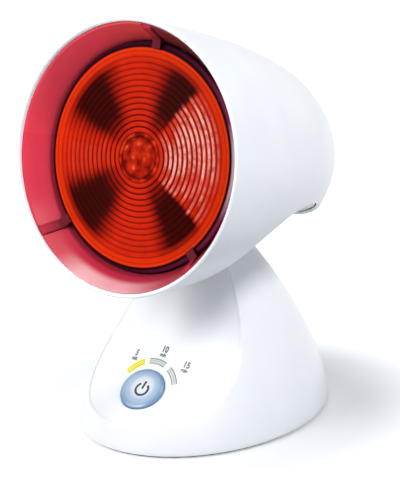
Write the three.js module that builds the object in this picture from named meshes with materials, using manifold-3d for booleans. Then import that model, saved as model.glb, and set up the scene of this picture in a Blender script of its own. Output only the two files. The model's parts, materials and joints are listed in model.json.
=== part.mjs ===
// Infrared heat therapy lamp: a round shade with a pressed-glass lamp tilts on a bell-shaped stand.
// Millimetres, +Z up, the lamp shines towards -Y, the origin is on the floor under the middle.

import * as THREE from 'three';
import { mergeVertices } from 'three/addons/utils/BufferGeometryUtils.js';
import Module from 'manifold-3d';

const wasm = await Module();
wasm.setup();

const degree = Math.PI / 180;
const turn = 2 * Math.PI;

// Clearances and overruns
const gap = 0.3; // between pieces that rest on each other
const overrun = 2; // how far a cutting shape reaches past what it cuts
const weldDistance = 1e-4;

// Stand: a bell of elliptic sections, with a swept face cut into its front
const stand = {
  halfWidth: 60,
  halfDepth: 79.2,
  closeAbove: 28.3, // from the hinge up to where the bell would close
  powerShare: 1.55, // how the bell draws in towards its top
  ringPowerShare: 1.4, // how the rings crowd towards its foot
  leanShare: 0.027, // how far the bell's middle moves back for each step up
  centreBack: 0.9,
  wall: 2.5,
  cavityAbove: 10, // from the hinge up to the top of the hollow
  ribGap: 5.3, // half the space between the two ribs that carry the hinge
  ribThickness: 2.5,
  ribBelow: 16, // from the hinge down to the foot of the ribs
};

// Control panel: a face that sweeps up to the neck and is crowned from side to side
const panel = {
  slope: 38 * degree,
  buttonInset: 26.32, // from the front of the bell's foot back to the button
  buttonHeight: 27.27,
  sweepRadius: 97,
  sweepFade: 400,
  crownRadius: 131,
  crownGather: 88,
  thickness: 2.5,
  border: 1,
  upperEnd: 74,
  lowerReach: 46,
  upperReach: 124,
  sideRoom: 6,
  depthReach: 150,
};

// Hinge between stand and shade: a bolt across the neck
const pivot = {
  back: 12,
  height: 94,
  boltRadius: 2,
  boltHeadRadius: 3.9,
  boltHeadLength: 2.8,
  nutRadius: 4,
  nutLength: 3,
  boltTip: 1, // past the nut
  springWasherThickness: 1,
  washerRadius: 8.5,
  washerThickness: 1,
  bushRadius: 4.2,
  earRadius: 11,
  earThickness: 1.4,
  earInner: 2.3, // half the space between the two ears of the bracket
  neckTopRadius: 19.5,
  slotClearance: 1.5,
  slotFrontBack: -4,
  upTilt: 20 * degree,
};

// Shade, measured along the lamp's axis from the plane of its rim
const hood = {
  lipWidth: 2.1,
  lipDepth: 2,
  wall: 2.2,
  backRoom: 8, // from the lamp holder to the back of the shade
  tilt: 13.84 * degree,
  pivotAhead: 23.5, // from the bracket forwards to the hinge
  pivotBelowAxis: 47.4,
  archRadius: 68,
  archBehindPivot: 5.8,
  archBelowPivot: 36.2,
  coverThickness: 2,
  coverSlot: 5,
  coverSlotReach: 18.5, // past the back of the bracket
  postRadius: 4,
  postCircle: 35.4,
  postAngle: turn / 28, // of the two side posts, below the middle
  postBoreRadius: 1.55,
  postBoreDepth: 12,
};
// Each pair is a share of the shade's length and of its radius
const hoodShares = [
  [0.0123, 1], [0.19, 0.948], [0.38, 0.885], [0.57, 0.793], [0.665, 0.729], [0.76, 0.638],
  [0.852, 0.514], [0.914, 0.4], [0.957, 0.295], [0.985, 0.172], [1, 0],
];

// Lamp: pressed glass with a screw cap
const bulb = {
  crown: 12.8, // from the rim's plane back to the middle of the lens
  lensBulge: 1.8,
  rimRadius: 60.9,
  rimWidth: 2.4,
  rimSlant: 1.8,
  rimThickness: 3.4,
  lensThickness: 3.2,
  glass: 2.4,
  dishDepth: 63.2,
  focalLength: 15.5,
  neckRadius: 22,
  neckEndRadius: 17,
  neckLength: 29,
  capRadius: 13.3,
  capWall: 1,
  capLength: 25.7,
  threadDepth: 0.9,
  threadCount: 5,
  insulatorLength: 4.7,
  insulatorTipRadius: 5,
  contactLength: 2.7,
  contactRadius: 4.6,
  stemRadius: 5,
  stemLength: 50,
  stemSeat: 5.7,
  filamentRadius: 0.7,
  filamentSpread: 3.4,
  filamentLength: 18,
  filamentBow: 5,
};

// Reflector liner in three parts, held by three clips that also hold the lamp's rim
const liner = {
  front: 2.4,
  backInset: 0.4, // its back edge lies this far ahead of the back of the lamp's rim
  clearance: 1.5, // round the lamp's rim
  flare: 8.7,
  thickness: 1.2,
  clipWidth: 5.4,
  clipProud: 1.4,
  clipHook: 3.2,
  clipHookThickness: 1,
};

const holder = {
  radius: 19.6,
  tipRadius: 13,
  taperLength: 14,
  collarRadius: 23.4,
  collarThickness: 3.4,
  boreRadius: 14.2,
  boreRoom: 2, // from the lamp's contact to the floor of the bore
  floorThickness: 6,
  contactWidth: 7,
  contactThickness: 0.8,
  leadDown: 17.4,
  leadInset: 5.8,
};

const shield = { clearance: 3, thickness: 1, rimRoom: 2.2, tubeRadius: 25.4, tubeOverlap: 7 };

const bracket = {
  neckRoom: 5, // from the end of the lamp's neck
  thickness: 2.5,
  radius: 41,
  collarRadius: 25.4,
  lowerEdge: 14,
  earTop: 29,
  earBottom: 37,
  leadHole: 30.2,
  leadHoleRadius: 2.7,
  screwRadius: 1.25,
  screwHeadRadius: 2.8,
  screwHeadLength: 2,
};

// Flat twin leads. Those in the stand curl round the hinge, where the ones in the shade meet them.
const lead = {
  halfWidth: 1.9,
  halfThickness: 0.9,
  curlRadius: 6,
  curlStart: -80 * degree,
  curlEnd: 62 * degree,
};

// Button, timer lights and what is behind them, measured from the button's middle on the panel's face
const button = {
  radius: 12.6,
  crown: 3.2,
  shoulder: 1.3,
  skirt: 3.6,
  flangeRadius: 14,
  flangeThickness: 1.2,
  wall: 1.5,
  stemRadius: 2.4,
  stemEnd: -3,
  travel: 1,
};

const timer = {
  innerRadius: 16.4,
  outerRadius: 19.6,
  spacing: 44.5 * degree,
  halfSpan: 16.5 * degree,
  ledRadius: 2,
  ledHeight: 3.6,
  baffleInner: 14.8,
  baffleOuter: 21.4,
  baffleTop: -4.6,
};

const board = {
  top: -10,
  thickness: 1.6,
  halfWidth: 23,
  lower: -13,
  upper: 40,
  postRadius: 2.6,
  postInset: 3.4,
  screwRadius: 1,
  screwHeadRadius: 2.2,
  screwHeadLength: 1.4,
  switchHalf: 6,
  switchHeight: 4,
  plungerRadius: 3.1,
  plungerTravelRoom: 0.3,
};

const relay = { width: 15, length: 19, height: 15, along: 26, across: -9.4 };
const capacitor = { width: 9, length: 18, height: 13, along: 27, across: 8 };

// Underside
const base = {
  lift: 0.4, // height of the plate's underside above the floor
  flangeInset: 1,
  flangeThickness: 0.6,
  thickness: 4,
  rimInset: 1,
  screwRadius: 1.5,
  screwHeadRadius: 3.2,
  screwHeadLength: 1.8,
  bossRadius: 4.2,
  bossBoreRadius: 1.8,
  bossBoreDepth: 14,
  bossInset: 9.8, // from the bell's foot to the middle of a boss
  bossAngle: 35.2 * degree, // round the oval, from its side
  footRadius: 7,
  footThickness: 1.7,
  footInset: 11,
  footAngle: 52.2 * degree,
};

const ballast = { sideRoom: 33, endRoom: 41.2, thickness: 7, corner: 6 };

const terminal = { halfWidth: 11, length: 14, height: 12, endRoom: 29.2, poleRadius: 2, poles: 3 };

const gland = {
  height: 13,
  radius: 5.4,
  boreRadius: 3.4,
  flangeRadius: 7.2,
  flangeThickness: 1.6,
  tail: 4.6,
  padRadius: 8.4,
  padProud: 2.4,
};

// Places in the stand that follow from the sizes above
stand.height = pivot.height + stand.closeAbove;
stand.foot = base.lift + base.flangeThickness + gap;
stand.cavityTop = pivot.height + stand.cavityAbove;
stand.ribFoot = pivot.height - stand.ribBelow;
panel.buttonBack = panel.buttonInset - stand.halfDepth;
panel.sideReach = stand.halfWidth + panel.sideRoom;
base.bossAcross = (stand.halfWidth - base.bossInset) * Math.cos(base.bossAngle);
base.bossAlong = (stand.halfDepth - base.bossInset) * Math.sin(base.bossAngle);
base.footAcross = (stand.halfWidth - base.footInset) * Math.cos(base.footAngle);
base.footAlong = (stand.halfDepth - base.footInset) * Math.sin(base.footAngle);
ballast.halfWidth = stand.halfWidth - ballast.sideRoom;
ballast.back = stand.halfDepth - ballast.endRoom;
ballast.front = -ballast.back;
terminal.along = stand.halfDepth - terminal.endRoom;

// Places along the lamp's axis and radii that follow from the sizes above
bulb.lensRadius = bulb.rimRadius - bulb.rimWidth;
bulb.lensEdge = bulb.crown + bulb.lensBulge;
bulb.rimFront = bulb.lensEdge + bulb.rimSlant;
bulb.rimBack = bulb.rimFront + bulb.rimThickness;
bulb.vertex = bulb.rimBack + bulb.dishDepth;
bulb.neckEnd = bulb.vertex + bulb.neckLength;
bulb.capEnd = bulb.neckEnd + gap + bulb.capLength;
bulb.insulatorEnd = bulb.capEnd + gap + bulb.insulatorLength;
bulb.end = bulb.insulatorEnd + gap + bulb.contactLength;
bulb.stemFront = bulb.neckEnd - bulb.stemLength;
bulb.stemFoot = bulb.neckEnd + gap + bulb.stemSeat;
bulb.filamentFront = bulb.stemFront - bulb.filamentLength;
liner.back = bulb.rimBack - liner.backInset;
liner.backRadius = bulb.rimRadius + liner.clearance;
shield.front = bulb.rimBack + shield.rimRoom;
shield.tubeStart = bulb.vertex - shield.tubeOverlap;
bracket.front = bulb.neckEnd + bracket.neckRoom;
bracket.back = bracket.front + bracket.thickness;
holder.front = bracket.front - gap - holder.collarThickness;
holder.floor = bulb.end + holder.boreRoom;
holder.back = holder.floor + holder.floorThickness;
holder.taperStart = holder.back - holder.taperLength;
holder.leadAlong = holder.back - holder.leadInset;
hood.lipRadius = liner.backRadius + liner.flare + gap;
hood.radius = hood.lipRadius + hood.lipWidth;
hood.length = holder.back + hood.backRoom;
hood.pivotBehindRim = bracket.front - hood.pivotAhead;
hood.coverSlotEnd = bracket.back + hood.coverSlotReach;

// How finely round shapes are divided
const fine = {
  bell: 44,
  bellRings: 10,
  lathe: 44,
  inner: 28,
  arch: 60,
  hood: 11,
  small: 14,
  tiny: 8,
  hexagon: 6,
  leadSides: 3,
  leadSteps: 12,
  panelAcross: 8,
  panelAlong: 12,
};

// Turns a closed three.js geometry into a solid for joining and cutting
function solidOf(geometry) {
  const bare = geometry.clone();
  bare.deleteAttribute('normal');
  bare.deleteAttribute('uv');
  const welded = mergeVertices(bare.index ? bare : mergeVertices(bare), weldDistance);
  const places = welded.attributes.position.array;
  const corners = [];
  for (let i = 0; i < welded.index.count; i += 3) {
    const [a, b, c] = [0, 1, 2].map((k) => welded.index.getX(i + k));
    if (a !== b && b !== c && c !== a) corners.push(a, b, c);
  }
  if (signedVolume(places, corners) < 0) corners.reverse();
  return new wasm.Manifold(new wasm.Mesh({
    numProp: 3,
    vertProperties: Float32Array.from(places),
    triVerts: Uint32Array.from(corners),
  }));
}

// A positive result means that the faces point outwards
function signedVolume(places, corners) {
  const [a, b, c] = [new THREE.Vector3(), new THREE.Vector3(), new THREE.Vector3()];
  let sum = 0;
  for (let i = 0; i < corners.length; i += 3) {
    a.fromArray(places, 3 * corners[i]);
    b.fromArray(places, 3 * corners[i + 1]);
    c.fromArray(places, 3 * corners[i + 2]);
    sum += a.dot(b.cross(c));
  }
  return sum;
}

function geometryOf(solid) {
  const mesh = solid.getMesh();
  const geometry = new THREE.BufferGeometry();
  geometry.setAttribute('position', new THREE.BufferAttribute(Float32Array.from(mesh.vertProperties), 3));
  geometry.setIndex(Array.from(mesh.triVerts));
  geometry.computeVertexNormals();
  return geometry;
}

// Basic shapes. Each returns a solid.
function cuboid(lowX, highX, lowY, highY, lowZ, highZ) {
  const shape = new THREE.BoxGeometry(highX - lowX, highY - lowY, highZ - lowZ);
  return solidOf(shape.translate((lowX + highX) / 2, (lowY + highY) / 2, (lowZ + highZ) / 2));
}

function rodAlongZ(x, y, lowZ, highZ, radius, sides = fine.small) {
  const shape = new THREE.CylinderGeometry(radius, radius, highZ - lowZ, sides).rotateX(turn / 4);
  return solidOf(shape.translate(x, y, (lowZ + highZ) / 2));
}

function rodAlongX(lowX, highX, y, z, radius, sides = fine.small) {
  const shape = new THREE.CylinderGeometry(radius, radius, highX - lowX, sides).rotateZ(turn / 4);
  return solidOf(shape.translate((lowX + highX) / 2, y, z));
}

// Turns a profile of [radius, place along the axis] points about the Z axis
function revolve(profile, sides = fine.lathe) {
  const points = profile.map(([r, z]) => new THREE.Vector2(r, z));
  return solidOf(new THREE.LatheGeometry(points, sides).rotateX(turn / 4));
}

// The same, for a ring whose profile closes on itself
function revolveRing(profile, sides = fine.lathe) {
  return revolve([...profile, profile[0]], sides);
}

// A flat outline pushed along Z from low to high
function slab(points, low, high) {
  const shape = new THREE.Shape(points.map(([x, y]) => new THREE.Vector2(x, y)));
  const geometry = new THREE.ExtrudeGeometry(shape, { depth: high - low, bevelEnabled: false });
  return solidOf(geometry.translate(0, 0, low));
}

// An outline of [y, z] points pushed along X from low to high
function slabAlongX(points, low, high) {
  const shape = new THREE.Shape(points.map(([y, z]) => new THREE.Vector2(y, z)));
  const geometry = new THREE.ExtrudeGeometry(shape, { depth: high - low, bevelEnabled: false });
  return solidOf(geometry.rotateX(turn / 4).rotateZ(turn / 4).translate(low, 0, 0));
}

// Rings of equal point counts, joined one after the other and closed at both ends
function loft(rings) {
  const count = rings[0].length;
  const places = rings.flat().flatMap((point) => point.toArray());
  const corners = [];
  for (let ring = 0; ring + 1 < rings.length; ring += 1) {
    for (let i = 0; i < count; i += 1) {
      const here = ring * count + i;
      const next = ring * count + ((i + 1) % count);
      corners.push(here, next, here + count, next, next + count, here + count);
    }
  }
  for (const [ring, flip] of [[0, true], [rings.length - 1, false]]) {
    const total = rings[ring].reduce((sum, point) => sum.add(point), new THREE.Vector3());
    const middle = total.divideScalar(count);
    const centre = places.length / 3;
    places.push(...middle.toArray());
    for (let i = 0; i < count; i += 1) {
      const here = ring * count + i;
      const next = ring * count + ((i + 1) % count);
      corners.push(...(flip ? [centre, next, here] : [centre, here, next]));
    }
  }
  const geometry = new THREE.BufferGeometry();
  geometry.setAttribute('position', new THREE.Float32BufferAttribute(places, 3));
  geometry.setIndex(corners);
  return solidOf(geometry);
}

// A wire or flat lead through a list of points
function wire(points, halfWidth, halfThickness, steps) {
  const section = new THREE.Shape();
  section.absellipse(0, 0, halfWidth, halfThickness, 0, turn);
  const path = new THREE.CatmullRomCurve3(points, false, 'centripetal');
  return solidOf(new THREE.ExtrudeGeometry(section, {
    steps, extrudePath: path, bevelEnabled: false, curveSegments: fine.leadSides,
  }));
}

function moved(solid, matrix) {
  return solidOf(geometryOf(solid).applyMatrix4(matrix));
}

function union(...solids) {
  return solids.reduce((sum, solid) => sum.add(solid));
}

// Placement frames
const panelFrame = new THREE.Group();
panelFrame.position.set(0, panel.buttonBack, panel.buttonHeight);
panelFrame.rotation.x = panel.slope; // X right, Y up the slope, Z out of the face

const headFrame = new THREE.Group();
const backY = Math.cos(hood.tilt);
const backZ = -Math.sin(hood.tilt);
headFrame.position.set(
  0,
  pivot.back - hood.pivotBehindRim * backY - hood.pivotBelowAxis * backZ,
  pivot.height - hood.pivotBehindRim * backZ + hood.pivotBelowAxis * backY,
);
headFrame.rotation.x = -(turn / 4 + hood.tilt); // X right, Y down, Z back along the lamp's axis

panelFrame.updateMatrix();
headFrame.updateMatrix();

// Materials
function material(color, roughness, metalness = 0, extra = {}) {
  return new THREE.MeshStandardMaterial({ color, roughness, metalness, ...extra });
}
const whitePlastic = material(0xf2f3f5, 0.28);
const blackPlastic = material(0x2b2d30, 0.5);
const rubber = material(0x1c1c1d, 0.85);
const crimsonLiner = material(0xc8354a, 0.3, 0.3);
const redGlass = material(0xe03010, 0.1);
const mirrorGlass = material(0xb9bcc0, 0.15, 0.9);
const blackGlass = material(0x17130f, 0.2);
const clearGlass = material(0xdfe8ea, 0.1, 0, { transparent: true, opacity: 0.5 });
const tungsten = material(0x77797d, 0.4, 0.9);
const brass = material(0xc9a35a, 0.3, 0.9);
const aluminium = material(0xc3c6ca, 0.35, 0.9);
const steel = material(0x9ea2a6, 0.4, 0.9);
const porcelain = material(0xece7db, 0.25);
const blueButton = material(0x86a9cf, 0.25);
const amberLight = material(0xf0cf2a, 0.3);
const greyLight = material(0xb9beb6, 0.3);
const boardGreen = material(0x2f6b46, 0.5);
const fibre = material(0x8b4a2f, 0.7);
const greySleeve = material(0xb6b3ab, 0.6);

const lamp = new THREE.Group();
function addPart(frame, name, finish, solid) {
  const mesh = new THREE.Mesh(geometryOf(solid), finish);
  mesh.name = name;
  frame.add(mesh);
}

// How much of its foot's width the bell keeps at a height
function bellShare(z) {
  return 1 - (Math.max(z, 0) / stand.height) ** stand.powerShare;
}

function bell(inset, low, high) {
  const rings = [];
  for (let i = 0; i <= fine.bellRings; i += 1) {
    const z = low + (high - low) * (i / fine.bellRings) ** stand.ringPowerShare;
    const slope = (stand.halfWidth * (bellShare(z + gap) - bellShare(z))) / gap;
    const sunk = inset * Math.hypot(1, slope);
    const ring = [];
    for (let k = 0; k < fine.bell; k += 1) {
      const angle = (k / fine.bell) * turn;
      ring.push(new THREE.Vector3(
        (stand.halfWidth * bellShare(z) - sunk) * Math.cos(angle),
        stand.centreBack + stand.leanShare * z + (stand.halfDepth * bellShare(z) - sunk) * Math.sin(angle),
        z,
      ));
    }
    rings.push(ring);
  }
  return loft(rings);
}

// Height of the panel's face over the button's plane, at a place across and along the slope
function panelRise(across, along) {
  const sweep = (along * along) / (2 * panel.sweepRadius) * (1 - along / panel.sweepFade);
  const crown = (across * across) / (2 * panel.crownRadius) * (1 + along / panel.crownGather);
  return sweep - crown;
}

// Everything that lies deeper than a depth under the panel's face, in the panel's own frame
function underFace(depth) {
  const rings = [];
  for (let i = 0; i <= fine.panelAlong; i += 1) {
    const along = -panel.lowerReach + (panel.lowerReach + panel.upperReach) * (i / fine.panelAlong);
    const ring = [];
    for (let k = 0; k <= fine.panelAcross; k += 1) {
      const across = panel.sideReach * (2 * (k / fine.panelAcross) - 1);
      ring.push(new THREE.Vector3(across, along, panelRise(across, along) - depth));
    }
    ring.push(new THREE.Vector3(panel.sideReach, along, -panel.depthReach));
    ring.push(new THREE.Vector3(-panel.sideReach, along, -panel.depthReach));
    rings.push(ring);
  }
  return loft(rings);
}

function onStand(solid) {
  return moved(solid, panelFrame.matrix);
}

const face = underFace(0);
const faceOnStand = onStand(face);
const behindPanelOnStand = onStand(underFace(panel.thickness));

// The neck's rounded top, which stays clear of the lamp above it
const trimReach = stand.halfWidth + overrun;
const neckTrim = union(
  cuboid(-trimReach, trimReach, -stand.halfDepth * 2, stand.halfDepth * 2, -overrun, pivot.height),
  rodAlongX(-stand.halfWidth, stand.halfWidth, pivot.back, pivot.height, pivot.neckTopRadius, fine.bell),
);

// The slot in the neck that the bracket swings in
function neckSlot() {
  const reach = pivot.earRadius + pivot.slotClearance;
  const arm = bracketArmCorner();
  const outline = [
    [pivot.back + pivot.slotFrontBack, pivot.height + stand.height],
    [pivot.back + pivot.slotFrontBack, pivot.height],
    [pivot.back, pivot.height - reach],
    [pivot.back + reach / 3, pivot.height - reach],
    [pivot.back + arm.y, pivot.height + arm.z - pivot.slotClearance],
    [pivot.back + stand.halfDepth, pivot.height + arm.z - pivot.slotClearance],
    [pivot.back + stand.halfDepth, pivot.height + stand.height],
  ];
  return union(
    slabAlongX(outline, -stand.ribGap, stand.ribGap),
    rodAlongX(-stand.ribGap, stand.ribGap, pivot.back, pivot.height, reach),
  );
}

// The lowest corner of the bracket's arm when the shade is tilted up, from the hinge
function bracketArmCorner() {
  const back = bracket.back - hood.pivotBehindRim;
  const down = bracket.earBottom - hood.pivotBelowAxis;
  const angle = hood.tilt + pivot.upTilt;
  return {
    y: back * Math.cos(angle) - down * Math.sin(angle),
    z: -back * Math.sin(angle) - down * Math.cos(angle),
  };
}

function fourPlaces(across, along) {
  return [[across, along], [-across, along], [-across, -along], [across, -along]];
}
const bossPlaces = fourPlaces(base.bossAcross, base.bossAlong);

// Where the hinge's nut and bolt head lie along the bolt, measured from the middle plane
const ribOuter = stand.ribGap + stand.ribThickness;
const nutFrom = ribOuter + gap + pivot.springWasherThickness + gap;
const boltEnd = nutFrom + pivot.nutLength + pivot.boltTip;
const boltHeadEnd = ribOuter + gap + pivot.boltHeadLength;
const plateTop = base.lift + base.thickness;
const bossFoot = plateTop + gap;

function standShell() {
  const outer = bell(0, stand.foot, stand.height - overrun).intersect(faceOnStand).intersect(neckTrim);
  const cavity = bell(stand.wall, stand.foot - overrun, stand.cavityTop).intersect(behindPanelOnStand);
  const ribs = [1, -1].map((side) => {
    const [inner, outerSide] = [side * stand.ribGap, side * (stand.ribGap + stand.ribThickness)];
    return cuboid(Math.min(inner, outerSide), Math.max(inner, outerSide),
      -stand.halfDepth, stand.halfDepth, stand.ribFoot, stand.height);
  });
  const bosses = bossPlaces.map(([x, y]) => (
    rodAlongZ(x, y, bossFoot, stand.height, base.bossRadius, fine.tiny)
  ));
  const boreTop = bossFoot + base.bossBoreDepth;
  const bores = bossPlaces.map(([x, y]) => rodAlongZ(x, y, 0, boreTop, base.bossBoreRadius, fine.tiny));
  const pocket = bell(panel.border, stand.foot, stand.cavityTop)
    .intersect(onStand(cuboid(-panel.sideReach, panel.sideReach, -panel.lowerReach, panel.upperEnd + gap,
      -panel.depthReach, panel.depthReach)))
    .subtract(onStand(underFace(panel.thickness + gap)));
  const hingeRoom = union(
    rodAlongX(-boltEnd - gap, -ribOuter, pivot.back, pivot.height, pivot.nutRadius + gap),
    rodAlongX(ribOuter, boltHeadEnd + gap, pivot.back, pivot.height, pivot.boltHeadRadius + gap),
  );
  const inlet = glandPlace();
  const inletBore = rodAlongZ(0, 0, inlet.inside - overrun, inlet.outside + overrun, gland.radius + gap);
  return outer
    .subtract(cavity.subtract(union(...ribs, ...bosses)))
    .add(moved(rodAlongZ(0, 0, inlet.inside, inlet.outside, gland.padRadius), inlet.matrix))
    .subtract(union(...bores))
    .subtract(pocket)
    .subtract(neckSlot())
    .subtract(hingeRoom)
    .subtract(rodAlongX(-stand.halfWidth, stand.halfWidth, pivot.back, pivot.height, pivot.boltRadius + gap)
      .intersect(bell(stand.wall, stand.foot, stand.cavityTop)))
    .subtract(moved(inletBore, inlet.matrix));
}

// Where the cable gland's flat pad lies on the back of the bell. The matrix turns Z to the back.
function glandPlace() {
  const middle = stand.centreBack + stand.leanShare * gland.height;
  const wallBack = middle + stand.halfDepth * bellShare(gland.height);
  return {
    inside: wallBack - 2 * stand.wall,
    outside: wallBack + gland.padProud,
    matrix: new THREE.Matrix4().makeRotationX(-turn / 4).setPosition(0, 0, gland.height),
  };
}

// An arc-shaped bar round the button, between two radii
function arcBar(inner, outer, middle, halfSpan, low, high) {
  const points = [];
  const steps = fine.tiny;
  for (let i = 0; i <= steps; i += 1) {
    const angle = middle - halfSpan + 2 * halfSpan * (i / steps);
    points.push([outer * Math.cos(angle), outer * Math.sin(angle)]);
  }
  for (let i = steps; i >= 0; i -= 1) {
    const angle = middle - halfSpan + 2 * halfSpan * (i / steps);
    points.push([inner * Math.cos(angle), inner * Math.sin(angle)]);
  }
  return slab(points, low, high);
}

const timerMarks = [
  { name: 'timer_light_5', angle: turn / 4 + timer.spacing, finish: amberLight },
  { name: 'timer_light_10', angle: turn / 4, finish: greyLight },
  { name: 'timer_light_15', angle: turn / 4 - timer.spacing, finish: greyLight },
];
const boardPosts = [
  [board.halfWidth - board.postInset, board.lower + board.postInset],
  [board.postInset - board.halfWidth, board.upper - board.postInset],
];
const boardBottom = board.top - board.thickness;

function controlPanel() {
  const depth = panel.thickness;
  const sheet = bell(panel.border + gap, stand.foot, stand.cavityTop)
    .intersect(faceOnStand)
    .subtract(behindPanelOnStand)
    .intersect(onStand(cuboid(-panel.sideReach, panel.sideReach, -panel.lowerReach, panel.upperEnd,
      -panel.depthReach, panel.depthReach)));
  const posts = boardPosts.map(([x, y]) => rodAlongZ(x, y, board.top + gap, -depth / 2 + panelRise(x, y),
    board.postRadius, fine.tiny));
  const bores = boardPosts.map(([x, y]) => (
    rodAlongZ(x, y, board.top, -depth, board.screwRadius + gap, fine.tiny)
  ));
  const holes = timerMarks.map((mark) => arcBar(timer.innerRadius - gap, timer.outerRadius + gap, mark.angle,
    timer.halfSpan + gap / timer.innerRadius, -board.postRadius * 2, depth));
  holes.push(rodAlongZ(0, 0, -2 * depth, 2 * depth, button.radius + gap, fine.inner));
  return sheet.add(onStand(union(...posts))).subtract(onStand(union(...bores, ...holes)));
}

function powerButton() {
  const { radius, crown, shoulder, skirt, flangeRadius, flangeThickness, wall, stemRadius, stemEnd } = button;
  const dome = [];
  const steps = fine.tiny / 2;
  for (let i = 0; i <= steps; i += 1) {
    const angle = (i / steps) * turn / 4;
    dome.push([radius * Math.sin(angle), shoulder + (crown - shoulder) * Math.cos(angle)]);
  }
  return revolve([
    ...dome, [radius, -skirt], [flangeRadius, -skirt], [flangeRadius, -skirt - flangeThickness],
    [radius - wall, -skirt - flangeThickness], [radius - wall, shoulder - wall],
    [stemRadius, shoulder - wall], [stemRadius, stemEnd], [0, stemEnd],
  ], fine.inner);
}

const switchTop = board.top + gap + board.switchHeight;
function addPanelParts() {
  addPart(panelFrame, 'power_button', blueButton, powerButton());
  const plungerEnd = button.stemEnd - gap;
  const plungerFoot = switchTop - gap;
  addPart(panelFrame, 'switch_plunger', blackPlastic,
    rodAlongZ(0, 0, plungerFoot, plungerEnd, board.plungerRadius));
  const half = board.switchHalf;
  addPart(panelFrame, 'switch_body', blackPlastic,
    cuboid(-half, half, -half, half, board.top + gap, switchTop)
      .subtract(rodAlongZ(0, 0, plungerFoot - button.travel - board.plungerTravelRoom, switchTop + overrun,
        board.plungerRadius + gap)));
  for (const mark of timerMarks) {
    const bar = arcBar(timer.innerRadius, timer.outerRadius, mark.angle, timer.halfSpan,
      -panel.thickness * 2, panel.thickness * 2);
    addPart(panelFrame, mark.name, mark.finish, bar.intersect(face).subtract(underFace(panel.thickness)));
  }
  const ledRing = (timer.innerRadius + timer.outerRadius) / 2;
  const ledPlaces = timerMarks.map(({ angle }) => [ledRing * Math.cos(angle), ledRing * Math.sin(angle)]);
  const ledFoot = board.top + gap;
  ledPlaces.forEach(([x, y], i) => {
    addPart(panelFrame, `timer_led_${i + 1}`, amberLight,
      rodAlongZ(x, y, ledFoot, ledFoot + timer.ledHeight, timer.ledRadius, fine.tiny));
  });
  const pockets = ledPlaces.map(([x, y]) => (
    rodAlongZ(x, y, board.top, 0, timer.ledRadius + gap, fine.tiny)
  ));
  addPart(panelFrame, 'light_baffle', blackPlastic,
    arcBar(timer.baffleInner, timer.baffleOuter, turn / 4, timer.spacing + timer.halfSpan,
      board.top + gap, timer.baffleTop).subtract(union(...pockets)));
  const screwHoles = boardPosts.map(([x, y]) => rodAlongZ(x, y, boardBottom - overrun, board.top + overrun,
    board.screwRadius + gap, fine.tiny));
  addPart(panelFrame, 'circuit_board', boardGreen,
    cuboid(-board.halfWidth, board.halfWidth, board.lower, board.upper, boardBottom, board.top)
      .subtract(union(...screwHoles)));
  const headBottom = boardBottom - gap - board.screwHeadLength;
  boardPosts.forEach(([x, y], i) => {
    const head = rodAlongZ(x, y, headBottom, boardBottom - gap, board.screwHeadRadius, fine.tiny);
    addPart(panelFrame, `board_screw_${i + 1}`, steel,
      head.add(rodAlongZ(x, y, headBottom, board.top / 2, board.screwRadius, fine.tiny)));
  });
  const blocks = [['relay', blackPlastic, relay], ['capacitor', amberLight, capacitor]];
  for (const [name, finish, block] of blocks) {
    addPart(panelFrame, name, finish, cuboid(block.across - block.width / 2, block.across + block.width / 2,
      block.along - block.length / 2, block.along + block.length / 2,
      boardBottom - gap - block.height, boardBottom - gap));
  }
}

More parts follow.
